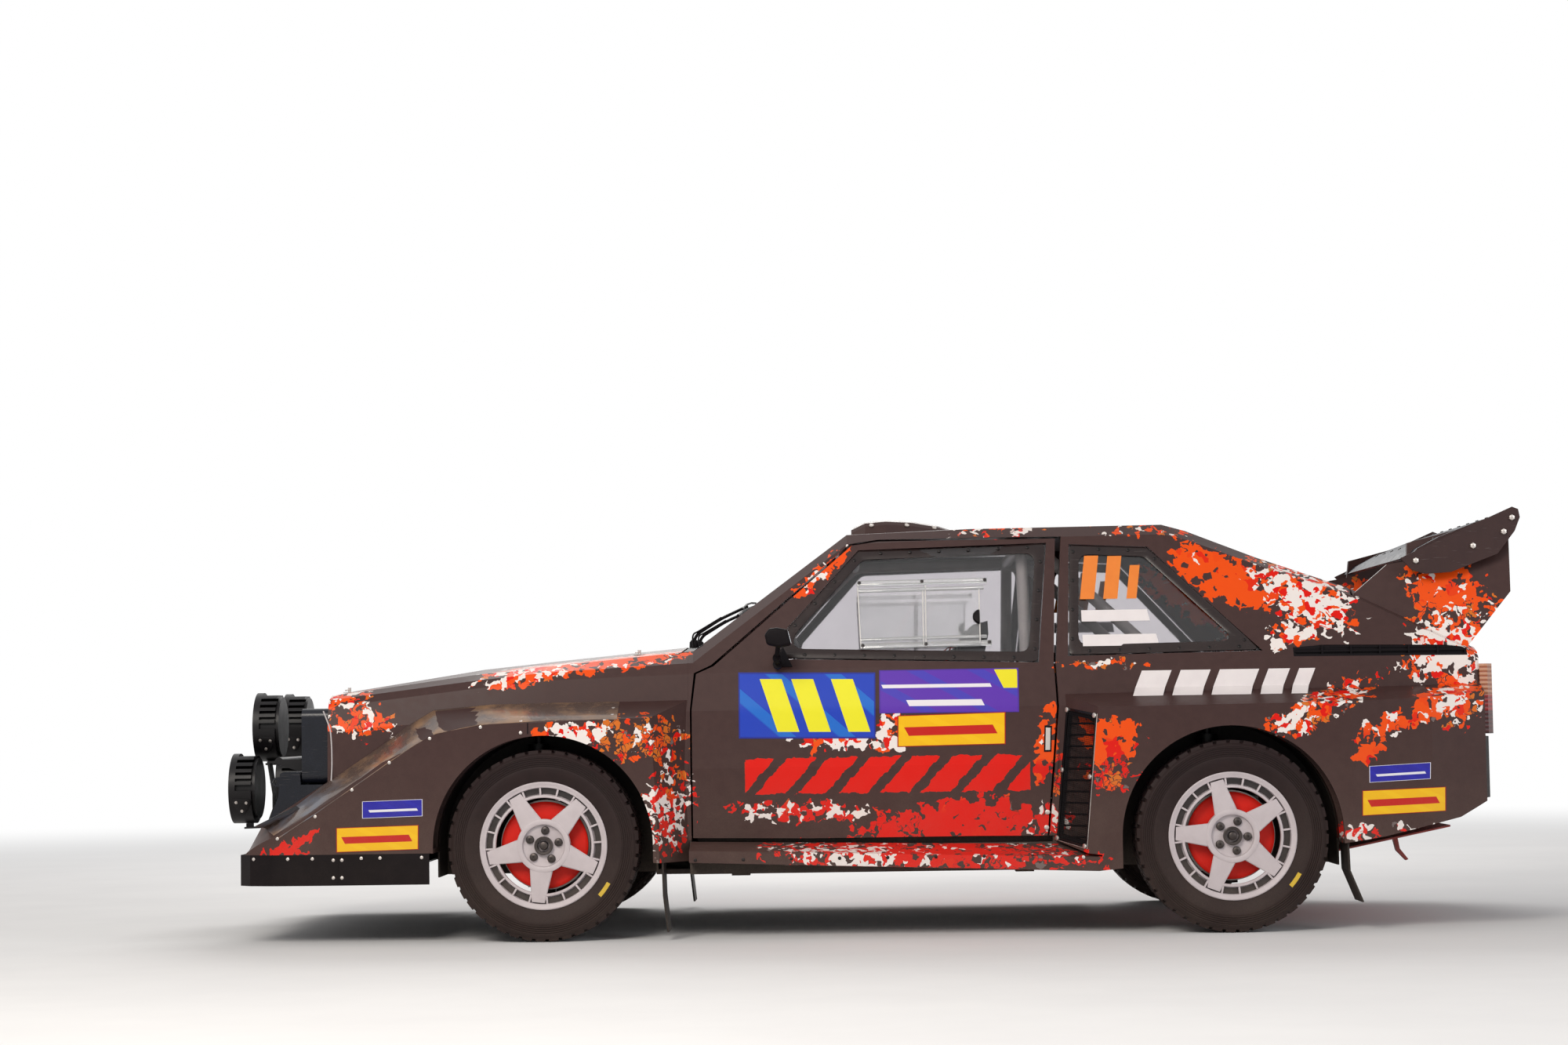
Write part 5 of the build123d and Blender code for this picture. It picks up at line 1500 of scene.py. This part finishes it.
buckle = at(*harnessSettings["buckle"])
backNormal = normal      # the last pad's
bothSides(makeHarness(buckle, backNormal * harnessSettings["proud"]), "Harness", "seat_fabric", makeWebbing())
bothSides(makeBuckle(buckle), "HarnessBuckle", "steel")

# steering wheel with a gripped rim, in place of the plain one
steeringSettings = {
    "hub": (250, 360, 832), "axis": (0.928, 0, -0.371), "radius": 0.165, "grip": 0.0145, "waves": 18,
    "plate": ((-2, 30), (-2, 56), (2, 56), (2, 30)), "boss": ((2, 0.1), (2, 34), (-12, 30), (-18, 0.1)),
    "column": ((0, 0.1), (0, 28), (50, 24), (60, 16.5), (300, 16.5), (300, 0.1)),
    "arm": ((0.05, -0.022), (0.158, -0.014), (0.158, 0.014), (0.05, 0.022)),
}


def onColumn(piece):
    # a form turned about Y is laid along the column, its face to the driver
    s = steeringSettings
    turn = Vector((0, 1, 0)).rotation_difference(Vector(s["axis"])).to_matrix().to_4x4()
    piece.matrix_world = Matrix.Translation(at(*s["hub"])) @ turn
    return settle(piece)


def makeSteeringWheel():
    s = steeringSettings
    bpy.ops.mesh.primitive_torus_add(major_radius=s["radius"], minor_radius=s["grip"], major_segments=96,
                                     minor_segments=16, rotation=(math.pi / 2, 0, 0))
    rim = settle(bpy.context.object)
    for vertex in rim.data.vertices:      # finger waves inside the grip
        spot = vertex.co
        if math.hypot(spot.x, spot.z) < s["radius"]:
            squeeze = 1 + 0.010 * math.sin(math.atan2(spot.z, spot.x) * s["waves"])
            spot.x *= squeeze
            spot.z *= squeeze
    outline = [(x, -0.002, z) for x, z in rounded(s["arm"], 0.004, 2)]
    arms = [rotated(addPlate(outline, (0, 0.004, 0), 0.0006), degrees, "Y") for degrees in (90, 210, 330)]
    return joined([rim, turned(s["plate"], 48), *arms, turned(s["boss"], 36), turned(s["column"], 32)])


def makeSpokeBolts():
    angles, radius = [math.radians(degrees) for degrees in range(30, 390, 60)], 0.045
    places = [(radius * math.cos(angle), -0.002, radius * math.sin(angle)) for angle in angles]
    return scattered(screwHead, [(Vector(place), (0, -1, 0)) for place in places])


steering = onColumn(makeSteeringWheel())
finished(steering, "steeringWheelGrip", "black_plastic", makeSuede(), "steering_wheel", 40)
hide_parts("steering_wheel")
finished(onColumn(makeSpokeBolts()), "steeringBolts", "steel", brightRivet, "steering_wheel")
print("steering wheel made")

# dash: instrument hood with three dials, and the switch panel
dashSettings = {
    "hoodX": (424, 486), "hoodY": (272, 448), "hoodZ": (862, 918), "dials": ((310, 20), (360, 24), (410, 20)),
    "dialPlace": (428.2, 889), "panelY": (-120, 120), "panelZ": (776, 838), "switches": 6, "rows": (0.28, 0.72),
    "toggle": ((0, 0.1), (0, 7), (-4, 6.5), (-6, 4), (-20, 2.8), (-22, 0.1)),
}


def makeInstrumentHood():
    low, high = (at(*corner) for corner in zip(*(dashSettings[key] for key in ("hoodX", "hoodY", "hoodZ"))))
    return sunk(addBlock(low, high, 0.010, 3), lambda face: face.normal.x < -0.9, 0.006, (0.005, 0, 0))


def makeDials():
    x, z = dashSettings["dialPlace"]
    dials = []
    for y, radius in dashSettings["dials"]:
        profile = ((0, 0.1), (0, radius - 2), (-2, radius), (-4, radius), (-4, radius - 3), (-1.5, radius - 3.5),
                   (-1.5, 0.1))
        dials.append(placed(rotated(turned(profile, 40), -90, "Z"), at(x, y, z)))
    return joined(dials)


def makeSwitches():
    # the panel on the dash's face, and its toggles
    s = dashSettings
    (y0, y1), (z0, z1) = s["panelY"], s["panelZ"]
    face = hitOn("dashboard", at(-200, 0, (z0 + z1) / 2), (1, 0, 0))[0]
    x = (face.x - midX) * 1000
    panel, toggles = addBlock(at(x - 7, y0, z0), at(x + 1.5, y1, z1), 0.0025), []
    for row in s["rows"]:
        for index in range(s["switches"]):
            spot = at(x - 7, y0 + (y1 - y0) * (index + 0.5) / s["switches"], z0 + (z1 - z0) * row)
            toggles.append(placed(rotated(turned(s["toggle"], 16), -90, "Z"), spot))
    return panel, joined(toggles)


finished(makeInstrumentHood(), "instrumentHood", "black_plastic")
finished(makeDials(), "instrumentDials", "black_plastic", makeDialMaterial())
switchPanel, toggles = makeSwitches()
finished(switchPanel, "switchPanel", "black_plastic", panelGrey)
finished(toggles, "toggleSwitches", "steel", brightRivet)

leverSettings = {
    "foot": (190, 0), "stick": ((0, 0, 0.05), (0.004, 0.002, 0.20), (-0.012, 0.008, 0.34)),
    "top": (-0.012, 0.008, 0.352),
    "gaiter": ((0, 0.1), (0, 50), (12, 44), (20, 46), (32, 34), (40, 36), (52, 22), (62, 14), (62, 0.1)),
    "knob": ((-24, 0.1), (-22, 12), (-12, 21), (4, 23), (18, 16), (23, 0.1)),
}


def makeGearLever():
    s = leverSettings
    foot = onTop("floor_pan", *s["foot"])
    gaiter = placed(rotated(turned(s["gaiter"], 32), 90, "X"), foot)
    stick = addTube(eased([foot + Vector(by) for by in s["stick"]], 0.05), 0.0075)
    return joined([gaiter, stick, placed(rotated(turned(s["knob"], 24), 90, "X"), foot + Vector(s["top"]))])


finished(makeGearLever(), "gearLever", "black_plastic", angle=40)
print("dash dressed")

coverSettings = {
    "middle": (1500, 0), "low": (-0.26, -0.085, -0.002), "high": (0.16, 0.085, 0.030), "ribs": 8, "pitch": 0.05,
    "ribLow": (-0.22, -0.064, 0.022), "ribHigh": (-0.204, 0.064, 0.036),
    "bolts": [(x, y, 0.0285) for x in (-0.25, -0.05, 0.15) for y in (-0.0785, 0.0785)],
}


def makeEngineCover(top):
    # ribbed cover over the plain block
    s = coverSettings
    lid = addBlock(top + Vector(s["low"]), top + Vector(s["high"]), 0.012, 3)
    sunk(lid, lambda face: face.normal.z > 0.95, 0.012, (0, 0, -0.004))
    along = [top + Vector((s["pitch"] * i, 0, 0)) for i in range(s["ribs"])]
    ribs = [addBlock(place + Vector(s["ribLow"]), place + Vector(s["ribHigh"]), 0.003) for place in along]
    return joined([lid] + ribs)


bayTop = onTop("engine_block", *coverSettings["middle"])
finished(makeEngineCover(bayTop), "engineCover", "iron", coverRed)
coverBolts = scattered(hexHead, [(bayTop + Vector(by), (0, 0, 1)) for by in coverSettings["bolts"]])
finished(coverBolts, "engineCoverBolts", "steel", brightRivet)
print("engine bay dressed")

stageSettings = {
    "world": 0.34, "fadeFrom": 4.0, "fadeTo": 13.0,
    "lamps": (      # name, place, aim, size, power, tint
        ("keyLamp", (2.5, 7.0, 5.0), (0, 0, 0.5), 3.0, 360, (1.0, 0.94, 0.86)),
        ("fillLamp", (-6.0, 6.0, 3.0), (-0.5, 0, 0.5), 4.0, 110, (0.92, 0.95, 1.0)),
        ("rimLamp", (0.5, -6.0, 5.5), (0, 0, 0.8), 4.0, 300, (1.0, 0.98, 0.95)),
    ),
}


def seenDirectly(tree):
    # one for camera, glossy and transmission rays
    rays = {field.socket.name: field for field in put(tree, "ShaderNodeLightPath").parts()}
    return rays["Is Camera Ray"].maths("ADD", rays["Is Glossy Ray"] + rays["Is Transmission Ray"], True)


def buildFloor():
    s = stageSettings
    bpy.ops.mesh.primitive_circle_add(vertices=96, radius=60, fill_type="NGON", location=(0, 0, 0))
    floor = bpy.context.object
    floor.name = "studioFloor"
    material, place = newMaterial("paleFloor", Roughness=0.9)
    dressed(material, noise(place, 1.4, 5.0, 0.6).mix(srgb(226, 226, 228), srgb(240, 240, 241)))
    tree = material.node_tree
    fade = put(tree, "ShaderNodeVectorMath", {0: place}, "Value", operation="LENGTH").ranged(s["fadeFrom"], s["fadeTo"])
    glow = put(tree, "ShaderNodeEmission", {"Color": (1, 1, 1, 1), "Strength": 1.0})
    lit = Field(tree.nodes["Principled BSDF"].outputs[0])
    mixed = put(tree, "ShaderNodeMixShader", {0: fade * seenDirectly(tree), 1: lit, 2: glow})
    connect(mixed, tree.nodes["Material Output"].inputs["Surface"])
    floor.data.materials.append(material)


def buildLight():
    world = bpy.data.worlds.new("studioWorld")
    world.use_nodes = True
    scene.world = world
    tree = world.node_tree
    soft = put(tree, "ShaderNodeBackground", {"Color": (1.0, 0.98, 0.96, 1), "Strength": stageSettings["world"]})
    white = put(tree, "ShaderNodeBackground", {"Color": (1, 1, 1, 1), "Strength": 1.0})
    mixed = put(tree, "ShaderNodeMixShader", {0: seenDirectly(tree), 1: soft, 2: white})
    connect(mixed, tree.nodes["World Output"].inputs["Surface"])
    for name, place, aim, size, power, tint in stageSettings["lamps"]:
        bpy.ops.object.light_add(type="AREA", location=place)
        lamp = bpy.context.object
        lamp.name = name
        lamp.data.size = size
        lamp.data.energy = power
        lamp.data.color = tint
        lamp.rotation_euler = (Vector(aim) - Vector(place)).to_track_quat("-Z", "Y").to_euler()


buildFloor()
buildLight()
print("stage and lights placed")

for template in templates:
    bpy.data.objects.remove(template)
